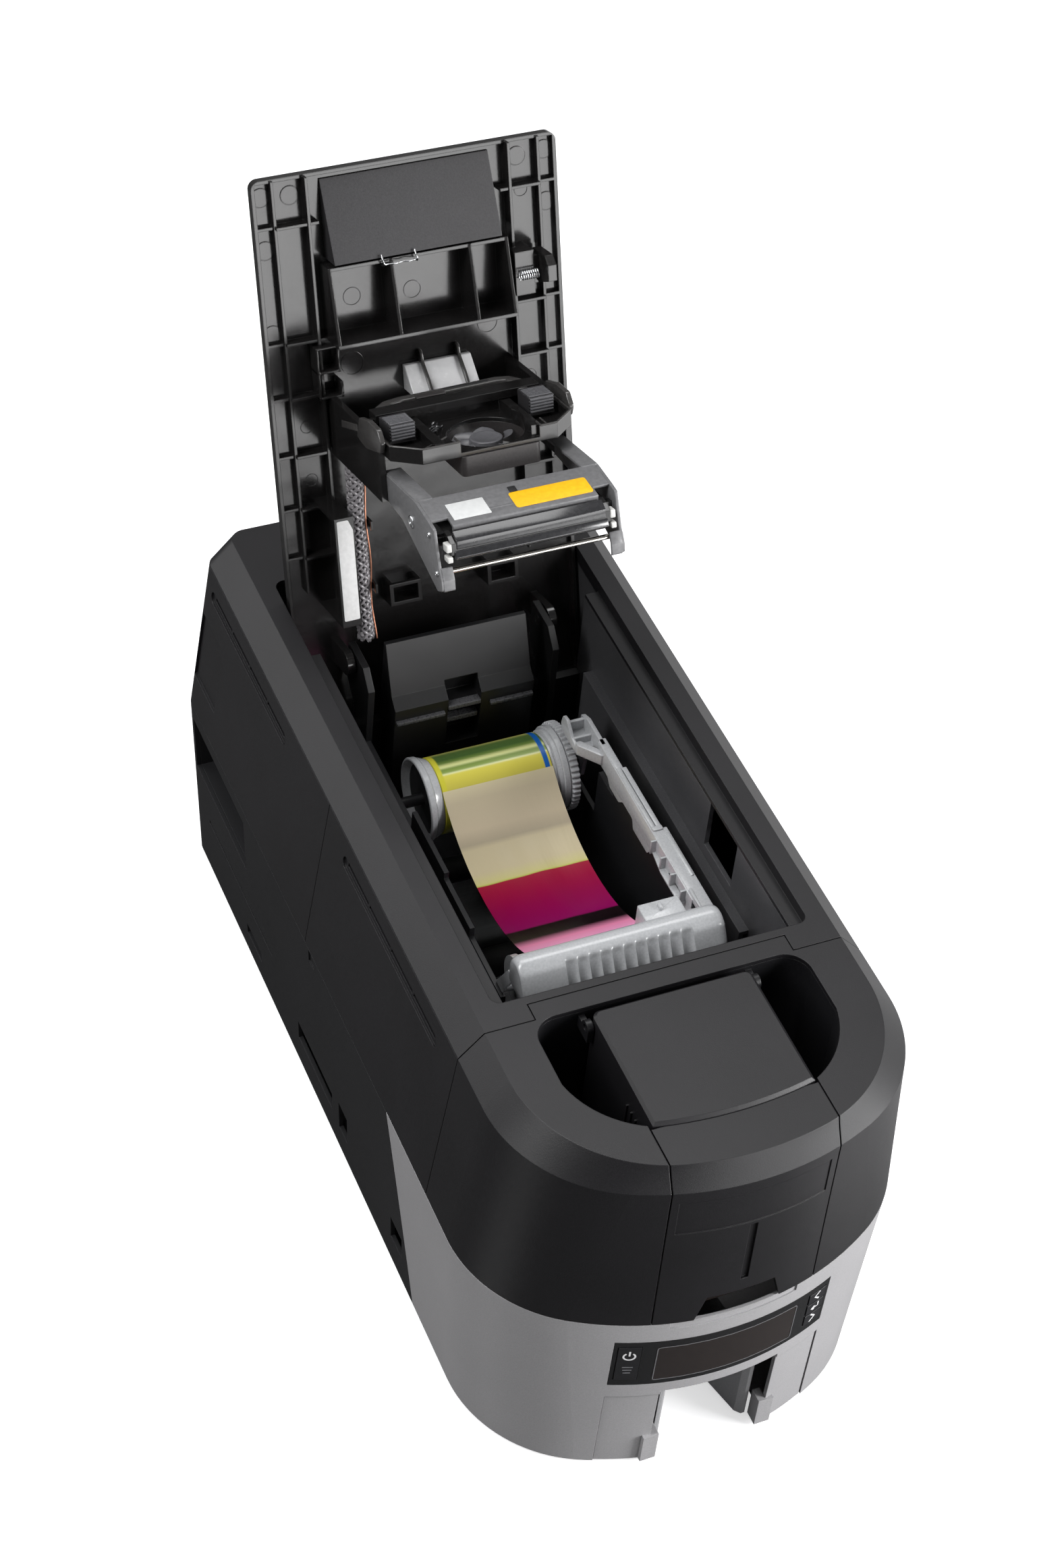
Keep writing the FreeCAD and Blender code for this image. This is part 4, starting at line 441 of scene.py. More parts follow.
# Near black for the sensor window and the cable core; it is also painted shade, as a disc at the bottom of the
# cupped flange and as the handle's slot, where only shade falls.
black_and_painted_shade = moulded("hub_black_and_painted_shade", (0.006, 0.006, 0.007), 0.6, 900, 0.01)
face_profile = [(-34.75, 3.0), (-34.75, 18.0), (-34.6, 18.2), (-34.6, 3.0)]
skins("supply_hub_face", [turned(face_profile, supply_axle)], black_and_painted_shade, "supply_reel")
shaft_profile = [(-52.9, 0.5), (-52.9, 2.7), (-52.6, 3.0), (51.4, 3.0), (51.7, 2.7), (51.7, 0.5)]
skins("supply_shaft", [turned(shaft_profile, supply_axle, 40)], inner_black, "supply_reel")

# Free web of film from the supply roll to the take up roll: one thin sheet
# on a sagging line, with a clear beige panel, a magenta panel, a black band
# and pink, as the ribbon carries them.
takeup_axle = (182.0, 157.0)


def web_line(count):
    """The web's (y, z) line: a cubic through three points that leaves and meets the rolls along their
    faces, with one slope at the middle point that keeps the bend even."""
    leave, meet = math.radians(50), math.radians(35)
    supply_radius, takeup_radius = 20.2, 12.6
    p0 = np.add(supply_axle, (-supply_radius * math.cos(leave), supply_radius * math.sin(leave)))
    p1 = np.array([262.0, 153.15])
    p2 = np.add(takeup_axle, (takeup_radius * math.sin(meet), takeup_radius * math.cos(meet)))
    m0 = np.array([-math.sin(leave), -math.cos(leave)])
    m2 = np.array([-math.cos(meet), math.sin(meet)])
    h0, h1 = np.linalg.norm(p1 - p0), np.linalg.norm(p2 - p1)
    m1 = (3 * ((p1 - p0) / h0 ** 2 + (p2 - p1) / h1 ** 2) - m0 / h0 - m2 / h1) / (2 / h0 + 2 / h1)
    t = np.linspace(0, 1, count)[:, None]
    halves = []
    for a, b, ma, mb, h in ((p0, p1, m0, m1, h0), (p1, p2, m1, m2, h1)):
        places = (2 * t ** 3 - 3 * t ** 2 + 1) * a + (3 * t ** 2 - 2 * t ** 3) * b
        slopes = (t ** 3 - 2 * t ** 2 + t) * h * ma + (t ** 3 - t ** 2) * h * mb
        halves.append(places + slopes)
    return np.concatenate([halves[0], halves[1][1:]])


web_half, web_columns, web_thick = 30, 41, 0.16
web_path = web_line(40)
across = np.linspace(-web_half, web_half, web_columns)
web_y = np.repeat(web_path[:, :1], web_columns, 1)
share = (web_path[0, 0] - web_y) / (web_path[0, 0] - web_path[-1, 0])
ease = np.sin(np.pi * np.clip(share, 0, 1)) ** 2
ripple = 0.22 * np.sin(across / 7.0 + 1.0) + 0.16 * np.sin(across / 3.1)
web_z = web_path[:, 1:] + ease * ripple
web_top = np.stack([np.repeat(across[None], len(web_path), 0), web_y, web_z + 0.09], -1)
web_low = web_top - (0, 0, web_thick)
web_stops = [(0.0, (0.62, 0.55, 0.36)), (0.05, (0.53, 0.46, 0.32)), (0.17, (0.61, 0.52, 0.37)),
             (0.235, (0.48, 0.41, 0.29)), (0.26, (0.66, 0.57, 0.37)), (0.38, (0.70, 0.60, 0.37)),
             (0.44, (0.74, 0.68, 0.28)), (0.449, (0.60, 0.66, 0.12)), (0.453, (0.42, 0, 0.035)),
             (0.62, (0.32, 0, 0.07)), (0.775, (0.27, 0, 0.10)), (0.785, (0.006, 0, 0.002)),
             (0.865, (0.004, 0.001, 0.002)), (0.92, (0.83, 0.26, 0.45)), (1.0, (0.92, 0.40, 0.66))]
web_film = film_material("web_film", web_stops)
film_sheet = skins("ribbon_web", [np.concatenate([web_top, web_low[:, ::-1]], 1)], web_film, "printer_base",
                   slot="film_web")
run_value = film_sheet.data.attributes.new("run", "FLOAT", "POINT")
run_rows = np.concatenate([share, share[:, ::-1]], 1)
run_value.data.foreach_set("value", run_rows.ravel().astype(np.float32))
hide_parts("film_web")

# Take up roll: the used ribbon, pink and glossy, wound in tight turns on the
# take up spool between its two flanges. Read round the axle, its pink grows
# lighter at one angle, a painted highlight, before a dark band.
pink_tones_and_painted_highlight = [(0.0, (0.40, 0.12, 0.22)), (0.45, (0.62, 0.22, 0.36)), (0.62, (0.72, 0.33, 0.48)),
              (0.70, (0.20, 0.03, 0.07)), (0.78, (0.10, 0.01, 0.03)), (0.86, (0.5, 0.17, 0.28)),
              (1.0, (0.40, 0.12, 0.22))]
pink = film_material("take_up_pink_film", pink_tones_and_painted_highlight, takeup_axle)
takeup_turns = both_ends([(30, 8), (30, 11.6), (29.7, 12.25), (28, 12.38)], (0, 12.36))
takeup_roll = skins("take_up_roll", [turned(takeup_turns, takeup_axle, 72, 0.05)], pink, "takeup_reel",
                    slot="film_pink")
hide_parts("takeup_film")

# Cooling fan's rotor: a hub cup with a sunk face and seven swept blades,
# moulded in one dark grey piece, on a stub shaft. It and all that swings with
# the lid are drawn with the lid closed.
lid_open_by = 108.8
hinge_y, hinge_z = 370.9, 202.7


def swung(points):
    """Lid points as drawn closed, turned open by the lid's angle about the hinge line."""
    points = np.asarray(points, float)
    angle = math.radians(lid_open_by)
    dy = points[..., 1] - hinge_y
    dz = points[..., 2] - hinge_z
    y = hinge_y + dy * math.cos(angle) + dz * math.sin(angle)
    z = hinge_z - dy * math.sin(angle) + dz * math.cos(angle)
    return desk(np.stack([points[..., 0], y, z], -1))


def on_lid(name, stacks, material, **more):
    """A piece that rides on the lid: skins drawn with the lid closed, then swung open."""
    return skins(name, stacks, material, "lid", place=swung, **more)


def turned_about(profile, count, centre, axis):
    """Rings of (height, radius) rows about a line through `centre` along X, Y or Z."""
    profile = np.asarray(profile, float)
    angle = np.linspace(0, 2 * math.pi, count, endpoint=False)
    high = np.repeat(profile[:, :1], count, 1)
    a, b = profile[:, 1:] * np.cos(angle), profile[:, 1:] * np.sin(angle)
    local = {"x": (high, a, b), "y": (a, high, b), "z": (a, b, high)}[axis]
    return np.stack(local, -1) + np.asarray(centre, float)


fan_x, fan_y, fan_z = 5.0, 241.0, 146.0
hub_radius, tip_radius, blade_count = 7.6, 17.4, 7
hub_profile = [(0.7, 1.0), (0.7, 6.4), (0.5, 6.7), (0.5, 7.5), (0.8, 7.95), (1.2, 8.0), (7.6, 8.0),
               (7.6, 1.6)]
rotor_parts = [turned_about(hub_profile, 48, (fan_x, fan_y, fan_z), "y")]
around = np.linspace(0, 2 * math.pi, 14, endpoint=False)
reach = np.linspace(hub_radius, tip_radius, 9)
outward = (reach - hub_radius) / (tip_radius - hub_radius)
chord = 2.5 + 1.1 * np.sin(outward * math.pi * 0.75)
pitch = (math.radians(38) - math.radians(10) * outward)[:, None]
run = chord[:, None] * np.cos(around)
lift = 0.34 * np.sin(around) + 0.05 * (run ** 2) * 0.5
side = run * np.cos(pitch) - lift * np.sin(pitch)
deep = 3.4 + run * np.sin(pitch) * 0.85 + lift * np.cos(pitch)
for i in range(blade_count):
    swept = i * 2 * math.pi / blade_count + 0.55 * outward ** 1.3
    turn_by = swept[:, None] + side / reach[:, None]
    rotor_parts.append(np.stack([fan_x + reach[:, None] * np.cos(turn_by), fan_y + deep,
                                 fan_z + reach[:, None] * np.sin(turn_by)], -1))
fan_grey = moulded("fan_grey", (0.10, 0.10, 0.108), 0.30, 900, 0.01)
rotor = skins("fan_blades", rotor_parts, fan_grey, "fan_rotor", place=swung, slot="dark_grey")
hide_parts("fan_rotor")


# Print head bracket: folded grey sheet metal with a sloped front plate, a
# turned down lip and two side arms, held by a chrome screw on each side.
def eased(points, radius, steps=4):
    """A closed outline with its corners rounded: each corner becomes a short curve between points
    `radius` before and after it."""
    p = np.asarray(points, float)
    before, after = np.roll(p, 1, 0) - p, np.roll(p, -1, 0) - p
    la, lb = np.linalg.norm(before, axis=1, keepdims=True), np.linalg.norm(after, axis=1, keepdims=True)
    a = p + before / la * np.minimum(radius, la * 0.45)
    b = p + after / lb * np.minimum(radius, lb * 0.45)
    t = np.linspace(0, 1, steps)[None, :, None]
    curve = (1 - t) ** 2 * a[:, None] + 2 * t * (1 - t) * p[:, None] + t ** 2 * b[:, None]
    return curve.reshape(-1, p.shape[1])


def slab(outline, low, high, bevel, axes="xyz"):
    """An outline carried from `low` to `high` with rounded edges: rows near both ends are moved inwards
    along the outline's normals. `axes` names where outline u, outline v and height go."""
    outline = np.asarray(outline, float)
    ahead = np.roll(outline, -1, 0) - np.roll(outline, 1, 0)
    length = np.maximum(np.linalg.norm(ahead, axis=1, keepdims=True), 1e-9)
    inward = np.stack([-ahead[:, 1], ahead[:, 0]], 1) / length
    after = np.roll(outline, -1, 0)
    inward *= math.copysign(1, np.sum(outline[:, 0] * after[:, 1] - after[:, 0] * outline[:, 1]))
    step = np.radians([0, 30, 60, 90])
    inset = bevel * (1 - np.sin(step))
    rise = bevel * (1 - np.cos(step))
    inset = np.concatenate([inset, inset[::-1]])
    level = np.concatenate([low + rise, high - rise[::-1]])
    flat = outline[None] + inset[:, None, None] * inward[None]
    rows = np.concatenate([flat, np.broadcast_to(level[:, None, None], (*flat.shape[:2], 1))], 2)
    placed = np.empty_like(rows)
    for source, target in enumerate(axes):
        placed[..., "xyz".index(target)] = rows[..., source]
    return placed


def upright(outline, ease, low, high, bevel):
    """A (y, z) outline with eased corners, carried from x = `low` to x = `high`."""
    return slab(eased(outline, ease), low, high, bevel, "yzx")


def beside(outline, ease, side, near, far, bevel):
    """A (y, z) outline with eased corners, carried from `near` to `far` out on one side, -1 or 1."""
    return upright(outline, ease, *sorted((side * near, side * far)), bevel)


def box(w, h, x=0.0, y=0.0):
    """The four corners of a w by h rectangle about (x, y)."""
    return [(x - w / 2, y - h / 2), (x + w / 2, y - h / 2), (x + w / 2, y + h / 2), (x - w / 2, y + h / 2)]


head_half, lip_half = 44.6, 36.4
slope_outline = [(250.0, 108.7), (254.2, 92.6), (255.6, 92.9), (251.5, 109.0)]
lip_outline = [(253.9, 93.8), (255.9, 86.2), (259.0, 87.0), (258.6, 88.4), (257.0, 88.0), (255.4, 94.0)]
arm_outline = [(250.6, 158.0), (250.4, 108.0), (254.2, 92.4), (256.0, 86.5), (273.0, 83.4), (279.5, 80.4),
               (284.6, 80.4), (286.4, 86.0), (266.4, 128.0), (262.8, 158.0)]
toe_outline = [(274.0, 82.6), (279.5, 80.3), (284.8, 80.3), (285.6, 81.6), (279.8, 81.7), (274.4, 84.0)]
bracket_parts = [upright(slope_outline, 0.4, -head_half, head_half, 0.2),
                 upright(lip_outline, 0.5, -lip_half, lip_half, 0.2)]
for side in (-1, 1):
    bracket_parts.append(beside(arm_outline, 1.0, side, head_half, 46.2, 0.2))
    bracket_parts.append(slab(eased(box(8.4, 42.0, side * 41.6, 129.0), 0.8), 249.8, 251.2, 0.2, "xzy"))
    bracket_parts.append(beside(toe_outline, 0.4, side, 39.4, 45.0, 0.2))
bracket_metal = moulded("bracket_satin", (0.150, 0.150, 0.155), 0.34, 500, 0.01, shift=0.05, coat=0.2)
head_frame = on_lid("print_head_bracket", bracket_parts, bracket_metal, slot="grey_metal")
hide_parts("head_bracket")
screw_parts = []
for side, y, z, r in [(-1, 262.6, 115.2, 3.2), (-1, 260.4, 92.0, 1.5), (-1, 277.0, 84.8, 1.4),
                      (1, 262.6, 115.2, 3.2), (1, 277.0, 84.8, 1.4)]:
    head_rows = [(0.0, r), (0.5, r), (0.8, r * 0.92), (1.0, r * 0.7), (1.05, r * 0.32), (0.7, r * 0.28),
                 (0.7, r * 0.05)]
    screw_parts.append(turned_about([(side * (46.1 + h), q) for h, q in head_rows], 24, (0, y, z), "x"))
chrome = metal("chrome_screw", (0.80, 0.81, 0.83), 0.16, 120)
on_lid("bracket_screws", screw_parts, chrome)


# Labels of the print head: a blank amber one and a silver patch are stuck on
# the sloped plate, beside a small black sensor window.
def on_plate(outline, ease, high, bevel, steps=4):
    """An outline (across, down the plate) with eased corners, raised to `high` over the bracket's slope."""
    stack = slab(eased(outline, ease, steps), 0.02, high, bevel)
    down, out = np.array([0, 0.252, -0.968]), np.array([0, -0.968, -0.252])
    plate_top = np.array([0, 250.0, 108.7])
    return plate_top + stack[..., :1] * [1, 0, 0] + stack[..., 1:2] * down + stack[..., 2:] * out


amber = moulded("amber_label", (0.93, 0.50, 0.004), 0.35, 500, 0.003, soft=0.0001, shift=0.02, coat=0.5)
silver = moulded("silver_patch", (0.68, 0.69, 0.69), 0.24, 400, 0.003, soft=0.0001, shift=0.06, coat=0.8)
on_lid("amber_label", [on_plate(box(38.8, 11.8, 16.1, 14.2), 1.6, 0.26, 0.05, 6)], amber)
on_lid("silver_patch", [on_plate(box(18.6, 12.2, -25.0, 13.4), 0.3, 0.24, 0.04)], silver)
on_lid("sensor_window", [on_plate(box(3.8, 4.2, 0.0, 6.0), 0.3, 0.35, 0.08)], black_and_painted_shade)

# Print head front: a glossy bar over the burn line, a smooth cover plate and
# white end clips, with a thin cross rod in the recess under the lip.
head_gloss = moulded("head_bar_gloss", (0.022, 0.022, 0.024), 0.16, 500, 0.004, coat=0.5)
bar_half, cover_half = 38.4, 37.4
bar_outline = [(266.0, 80.75), (269.4, 79.4), (271.6, 82.4), (271.4, 84.6), (266.0, 83.6)]
on_lid("head_bar", [upright(bar_outline, 0.7, -bar_half, bar_half, 0.5)], head_gloss)
cover_outline = [(257.8, 85.4), (261.2, 80.75), (265.4, 80.75), (265.4, 81.6), (261.8, 81.9), (258.6, 86.0)]
on_lid("head_cover_plate", [upright(cover_outline, 0.4, -cover_half, cover_half, 0.3)], head_gloss)
clip_parts = []
for side in (-1, 1):
    for y0, y1, z0 in [(262.4, 266.4, 80.9), (268.4, 271.2, 80.0)]:
        clip_outline = eased(box(2.6, y1 - y0, side * 41.0, (y0 + y1) / 2), 0.5)
        clip_parts.append(slab(clip_outline, z0, z0 + 5.0, 0.4))
clip_white = moulded("clip_white", (0.62, 0.62, 0.60), 0.35, 700, 0.01, shift=0.03)
on_lid("head_end_clips", clip_parts, clip_white)
rod_profile = [(-33, 0.2), (-33, 0.9), (33, 0.9), (33, 0.2)]
on_lid("head_cross_rod", [turned_about(rod_profile, 16, (0, 259.6, 88.9), "x")], head_gloss)

# Side label: matt white paper, left blank, stuck in the channel that runs
# down the lid's left edge.
label_white = moulded("blank_white_label", (0.56, 0.56, 0.56), 0.45, 500, 0.004, soft=0.0001, shift=0.02)
label_outline = [(-58.4, 289.4), (-52.6, 289.4), (-50.3, 295.0), (-50.3, 343.0), (-58.4, 343.0)]
on_lid("side_blank_label", [slab(eased(label_outline, 0.7), 190.8, 190.99, 0.05)], label_white)


# Head cable: a sleeve braided from twelve strands over the wires, with one
# copper wire laid along it, held against the lid by two clips.
def along_path(path, radius, count=8):
    """A tube round a path of points: each ring stands across the path's direction there."""
    path = np.asarray(path, float)
    ahead = np.gradient(path, axis=0)
    ahead /= np.linalg.norm(ahead, axis=1, keepdims=True)
    side = np.cross(ahead, np.where(np.abs(ahead[:, :1]) > 0.9, [0.0, 0.0, 1.0], [1.0, 0.0, 0.0]))
    side /= np.linalg.norm(side, axis=1, keepdims=True)
    over = np.cross(ahead, side)
    angle = np.linspace(0, 2 * math.pi, count, endpoint=False)[None, :, None]
    return path[:, None] + radius * (side[:, None] * np.cos(angle) + over[:, None] * np.sin(angle))


cable_x, cable_from, cable_to, cable_places = -43.2, 267.5, 361.5, 190
cable_run = np.linspace(cable_from, cable_to, cable_places)
cable_bow = 204.6 + 0.9 * np.sin((cable_run - 292) / 94 * math.pi)
cable_mid = np.stack([np.full(cable_places, cable_x), cable_run, cable_bow], -1)
strand_lay, strands_a_way = 19.0, 6
laid = (cable_run - cable_from) / strand_lay * 2 * math.pi
braid_parts = []
for way in (-1, 1):
    for k in range(strands_a_way):
        twist = way * laid + k * 2 * math.pi / strands_a_way
        stand = 3.45 + 0.4 * np.sin(laid * strands_a_way + way * math.pi / 2 + k * math.pi)
        strand = cable_mid + np.stack([stand * np.cos(twist), 0 * twist, stand * np.sin(twist)], -1)
        braid_parts.append(along_path(strand, 0.85))
braid_black = moulded("braid_black", (0.20, 0.19, 0.20), 0.34, 1200, 0.01, soft=0.0001)
on_lid("head_cable_core", [along_path(cable_mid[::4], 3.1, 20)], black_and_painted_shade)
braid = on_lid("head_cable_braid", braid_parts, braid_black, slot="cable_braid")
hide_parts("head_cable")
copper = metal("copper_wire", (0.75, 0.34, 0.22), 0.35, 200)
wire_x, wire_z = 3.9 + 0.5 * np.sin(cable_run / 7.0), 0.5 * np.cos(cable_run / 9.0) - 3.2
wire_mid = cable_mid + np.stack([wire_x, 0 * cable_run, wire_z], -1)
on_lid("head_cable_wire", [along_path(wire_mid[::2], 0.42)], copper)

# Display glass line, power symbol, status bars and menu symbols, printed on
# the curved front. Each mark is a thin skin laid on the surface below it.
nose_radius, nose_top, nose_high, nose_lean = 150, 115.5, 114, 2
mark_lift, ink_depth = 0.44, 0.07


def front_y(x, z, lift):
    """The front's y at (x, z): the nose's arc, whose foremost point leans with height, less `lift`."""
    arc = nose_radius - np.sqrt(nose_radius ** 2 - x ** 2)
    return nose_lean * (nose_top - z) / nose_high + arc - lift


def printed(band, lift):
    """Rows of (x, z) points laid on the front at `lift` millimetres, closed to a thin skin behind."""
    x, z = band[..., 0], band[..., 1]
    face = np.stack([x, front_y(x, z, lift), z], -1)
    backs = face + (0, ink_depth, 0)
    return np.concatenate([face, backs[:, ::-1]], 1)


def mark(name, bands, material, body, lift=mark_lift):
    """A printed mark: one thin skin for each of its bands."""
    skins(name, [printed(band, lift) for band in bands], material, body)


def arc_band(cx, cz, r, half, a0, a1):
    """Rows of two points across a band of half width `half` round an arc from a0 to a1 degrees."""
    a = np.linspace(math.radians(a0), math.radians(a1), 28)[:, None]
    rr = np.array([[r - half, r + half]])
    return np.stack([cx + rr * np.sin(a), cz + rr * np.cos(a)], -1)


def line_band(points, half):
    """Rows of two points across a band that follows an open line of points."""
    p = np.asarray(points, float)
    way = np.gradient(p, axis=0)
    way /= np.linalg.norm(way, axis=1, keepdims=True)
    side = np.stack([-way[:, 1], way[:, 0]], 1) * half
    return np.stack([p - side, p + side], 1)


icon_white = moulded("icon_white", (0.75, 0.75, 0.76), 0.4, 500, 0.002, soft=0.0001, shift=0.02)
icon_grey = moulded("icon_grey", (0.16, 0.16, 0.17), 0.4, 500, 0.002, soft=0.0001, shift=0.02)
power_bands = [arc_band(-48, 91.2, 2.6, 0.42, 35, 325), line_band([(-48, 91.6), (-48, 95.2)], 0.42)]
mark("power_symbol", power_bands, icon_white, "power_key")
bar_ends = [(-50.4 + 0.4 * k, -45.6 - 0.4 * k, 82.4 - 2.3 * k) for k in range(3)]
bar_bands = [line_band([(x0, z), (x1, z)], 0.36) for x0, x1, z in bar_ends]
mark("status_bars", bar_bands, icon_grey, "power_key")
left_arrow = line_band([(49.4, 96.6), (46.6, 93.7), (49.4, 90.8)], 0.5)
mark("menu_mark_left", [left_arrow], icon_white, "key_right")
enter_bands = [line_band([(49.9, 87.4), (49.9, 84.4), (46.4, 84.4)], 0.45),
               line_band([(47.8, 85.9), (46.0, 84.4), (47.8, 82.9)], 0.45)]
mark("menu_mark_enter", enter_bands, icon_white, "key_enter")
right_arrow = line_band([(46.6, 79.4), (49.4, 76.4), (46.6, 73.4)], 0.5)
mark("menu_mark_right", [right_arrow], icon_white, "key_left")
edge_line = eased(box(71.0, 26.2, 0, 83.5), 1.4, 5)
edge_line = np.concatenate([edge_line, edge_line[:1]])
edge_pieces = [np.linspace(a, b, 6, endpoint=False) for a, b in zip(edge_line[:-1], edge_line[1:])]
long_line = np.concatenate(edge_pieces + [edge_pieces[0][:1]])
mark("glass_edge_line", [line_band(long_line, 0.22)], icon_grey, "printer_base", lift=0.12)


# Latch spring of the lid and the two wire hooks under the sloped panel: bent
# from bright steel wire. The hooks are joined by a third wire behind them.
def stepped(points, count):
    """A broken line through the points, cut at `count` places that are even from point to point."""
    points = np.asarray(points, float)
    places = np.linspace(0, len(points) - 1, count)
    return np.stack([np.interp(places, np.arange(len(points)), column) for column in points.T], -1)


coil_turn = np.linspace(0, 2 * math.pi * 8, 240)
coil_path = np.stack([50.0 + 9.0 * coil_turn / coil_turn[-1], 187 + 2.3 * np.cos(coil_turn),
                      203.6 + 2.3 * np.sin(coil_turn)], -1)
on_lid("latch_spring", [along_path(coil_path, 0.32)], chrome)
hook_left, hook_right = -19.5, -2.5
hook_parts = []
for x in (hook_left, hook_right):
    hook = [(x, 165.0, 206.4), (x, 167.4, 204.8), (x + 0.4, 169.0, 204.4), (x + 0.6, 170.4, 205.8),
            (x + 0.6, 170.6, 208.6)]
    hook_parts.append(along_path(stepped(hook, 24), 0.45))
link_path = np.linspace((-19, 169.8, 205.4), (hook_right, 169.8, 205.4), 24)
link_path[:, 2] += 0.5 * np.sin(np.linspace(0, 14, 24))
hook_parts.append(along_path(link_path, 0.35))
on_lid("panel_wire_hooks", hook_parts, chrome)

# Cartridge: one light grey moulding of a ribbed grip bar, a stepped rail that
# rests on the right side frame, and forks that carry the two spools.
bar_section = [(163.5, 188.0), (163.5, 201.5), (160.5, 205.2), (155.5, 206.0), (150.5, 203.4),
               (144.0, 193.4), (143.0, 189.0), (145.0, 186.0), (158.0, 186.0)]
bar_straight, bar_end_x, rib_pitch, rib_middle = 48, 52.3, 5.9, 2.95
bar_base = eased(bar_section, 2.6, 5)
bar_x = np.concatenate([np.linspace(-bar_end_x, -bar_straight, 12),
                        np.linspace(-bar_straight, bar_straight, 330)[1:-1],
                        np.linspace(bar_straight, bar_end_x, 12)])
bar_ahead = np.roll(bar_base, -1, 0) - np.roll(bar_base, 1, 0)
bar_length = np.linalg.norm(bar_ahead, axis=1, keepdims=True)
bar_out = np.stack([-bar_ahead[:, 1], bar_ahead[:, 0]], 1) / bar_length
bar_front = np.clip((152.5 - bar_base[:, 0]) / 2.5, 0, 1)
bar_front *= np.clip((204.2 - bar_base[:, 1]) / 1.6, 0, 1) * np.clip((bar_base[:, 1] - 187.5) / 2, 0, 1)
bar_cell = (bar_x + 29.5) / rib_pitch
rib_round = 2.2 * np.sqrt(np.maximum(0, 1 - (2 * (bar_cell % 1) - 1) ** 2))
bar_rib = np.where(np.abs(bar_x - rib_middle) < 5.5 * rib_pitch, rib_round - 0.6, -0.6)
bar_end = np.sqrt(np.maximum(0.0, 1 - np.clip((np.abs(bar_x) - bar_straight) / 4.5, 0, 1) ** 2))
bar_mid = np.array([153.5, 196.0])
bar_rows = []
for x, rib, end in zip(bar_x, bar_rib, bar_end):
    ring = bar_base + bar_out * (rib * bar_front)[:, None]
    ring = bar_mid + (ring - bar_mid) * (0.72 + 0.28 * end)
    bar_rows.append(np.concatenate([np.full((len(ring), 1), x), ring], 1))


def fork(axle, outline, low, high):
    """A plate outline closed round an open bearing: a half circle about the axle's centre with two legs."""
    y, z = axle
    bore, leg, foot_z = 3.2, 5.6, z - 5.0
    a = np.linspace(0, math.pi, 15)
    bearing = np.stack([y + bore * np.cos(a), z + bore * np.sin(a)], 1).tolist()
    legs = [(y + leg, foot_z), (y + bore, foot_z)] + bearing + [(y - bore, foot_z), (y - leg, foot_z)]
    return slab(outline + legs, low, high, 0.2, "yzx")


def plan(x0, x1, y0, y1, z0, z1, ease=0.6, bevel=0.35):
    """A block from x0 to x1, y0 to y1 and z0 to z1, with eased corners in plan and rounded edges."""
    return slab(eased(box(x1 - x0, y1 - y0, (x0 + x1) / 2, (y0 + y1) / 2), ease), z0, z1, bevel)


cartridge_parts = [np.array(bar_rows), plan(50.0, 57.8, 162, 226, 187.4, 190.0),
                   plan(56.4, 57.8, 163, 227, 180.4, 188.0), plan(50.0, 52.4, 226, 270, 187.4, 190.4),
                   plan(52.9, 55.6, 226, 270, 187.4, 190.0), plan(50.0, 55.4, 224.5, 227.4, 182, 190.9),
                   plan(50.0, 54.0, 268.5, 292, 186.4, 189.8), plan(53.2, 54.4, 228, 292, 181.0, 188.2),
                   plan(55.2, 57.0, 192, 222, 189.6, 190.5, 0.8, 0.2),
                   plan(50.2, 51.6, 166, 184, 189.6, 191.3, 0.4, 0.2),
                   plan(17.0, 38.0, 162, 173.2, 189, 202.4, 0.7, 0.6),
                   plan(25.8, 27.6, 166.5, 170.5, 202.0, 204.6, 0.7, 0.6),
                   plan(38.0, 50.5, 162, 166, 187, 196.5, 0.6, 0.6)]
inner_wall = [(178, 189.6), (178, 183.2), (203, 183.2), (205, 178.4), (223, 178.4), (227, 172.6),
              (244, 172.6), (246, 178), (258, 178), (262, 174), (273, 174), (277, 178), (291, 178),
              (291, 189.6)]
cartridge_parts.append(upright(inner_wall, 1.0, 49.5, 50.3, 0.15))
for y in (184.5, 196.0, 207.5, 219.0):
    fin = [(y, 189.4), (y, 181.0), (y + 1.1, 181.0), (y + 1.1, 189.4)]
    cartridge_parts.append(upright(fin, 0.2, 46.6, 50.0, 0.2))
fin_foot = [(46.4, 184.2), (50.0, 184.2), (50.0, 220.2), (48.2, 220.2), (46.4, 206.0)]
cartridge_parts.append(slab(eased(fin_foot, 0.5), 180.6, 181.8, 0.2))
supply_fork = [(304.6, 163.0), (288, 180.6), (288, 189.8), (307, 189.8), (313.5, 187.0), (317.6, 163.0)]
takeup_fork = [(175.6, 164.0), (172, 183.0), (194, 183.0), (188.4, 164.0)]
cartridge_parts += [fork(supply_axle, supply_fork, 50.2, 52.4), fork(takeup_axle, takeup_fork, 50.2, 52.4)]
rear_hook = [(296, 179.6), (313.5, 179.6), (315.0, 184.0), (313.5, 189.6), (309.0, 190.4), (302.0, 184.6),
             (296, 183.4)]
cartridge_parts.append(upright(rear_hook, 1.0, 39.9, 41.7, 0.3))
rear_brace = [(39.9, 297), (42.6, 297), (50.6, 287), (50.6, 283.6), (48.6, 283.6), (39.9, 294.2)]
cartridge_parts.append(slab(eased(rear_brace, 0.5), 179.8, 186.4, 0.3))
cartridge_parts += [plan(41.0, 51.0, y0, y1, z0, z1) for y0, y1, z0, z1 in [
    (309.6, 311.4, 180.2, 187.4), (300.0, 301.6, 180.2, 185.4), (296.0, 311.0, 179.8, 181.2)]]
left_arm = [(158.0, 191.0), (164.5, 191.0), (176.0, 170.6), (168.0, 170.6)]
cartridge_parts.append(upright(left_arm, 0.8, -51.6, -50.6, 0.2))
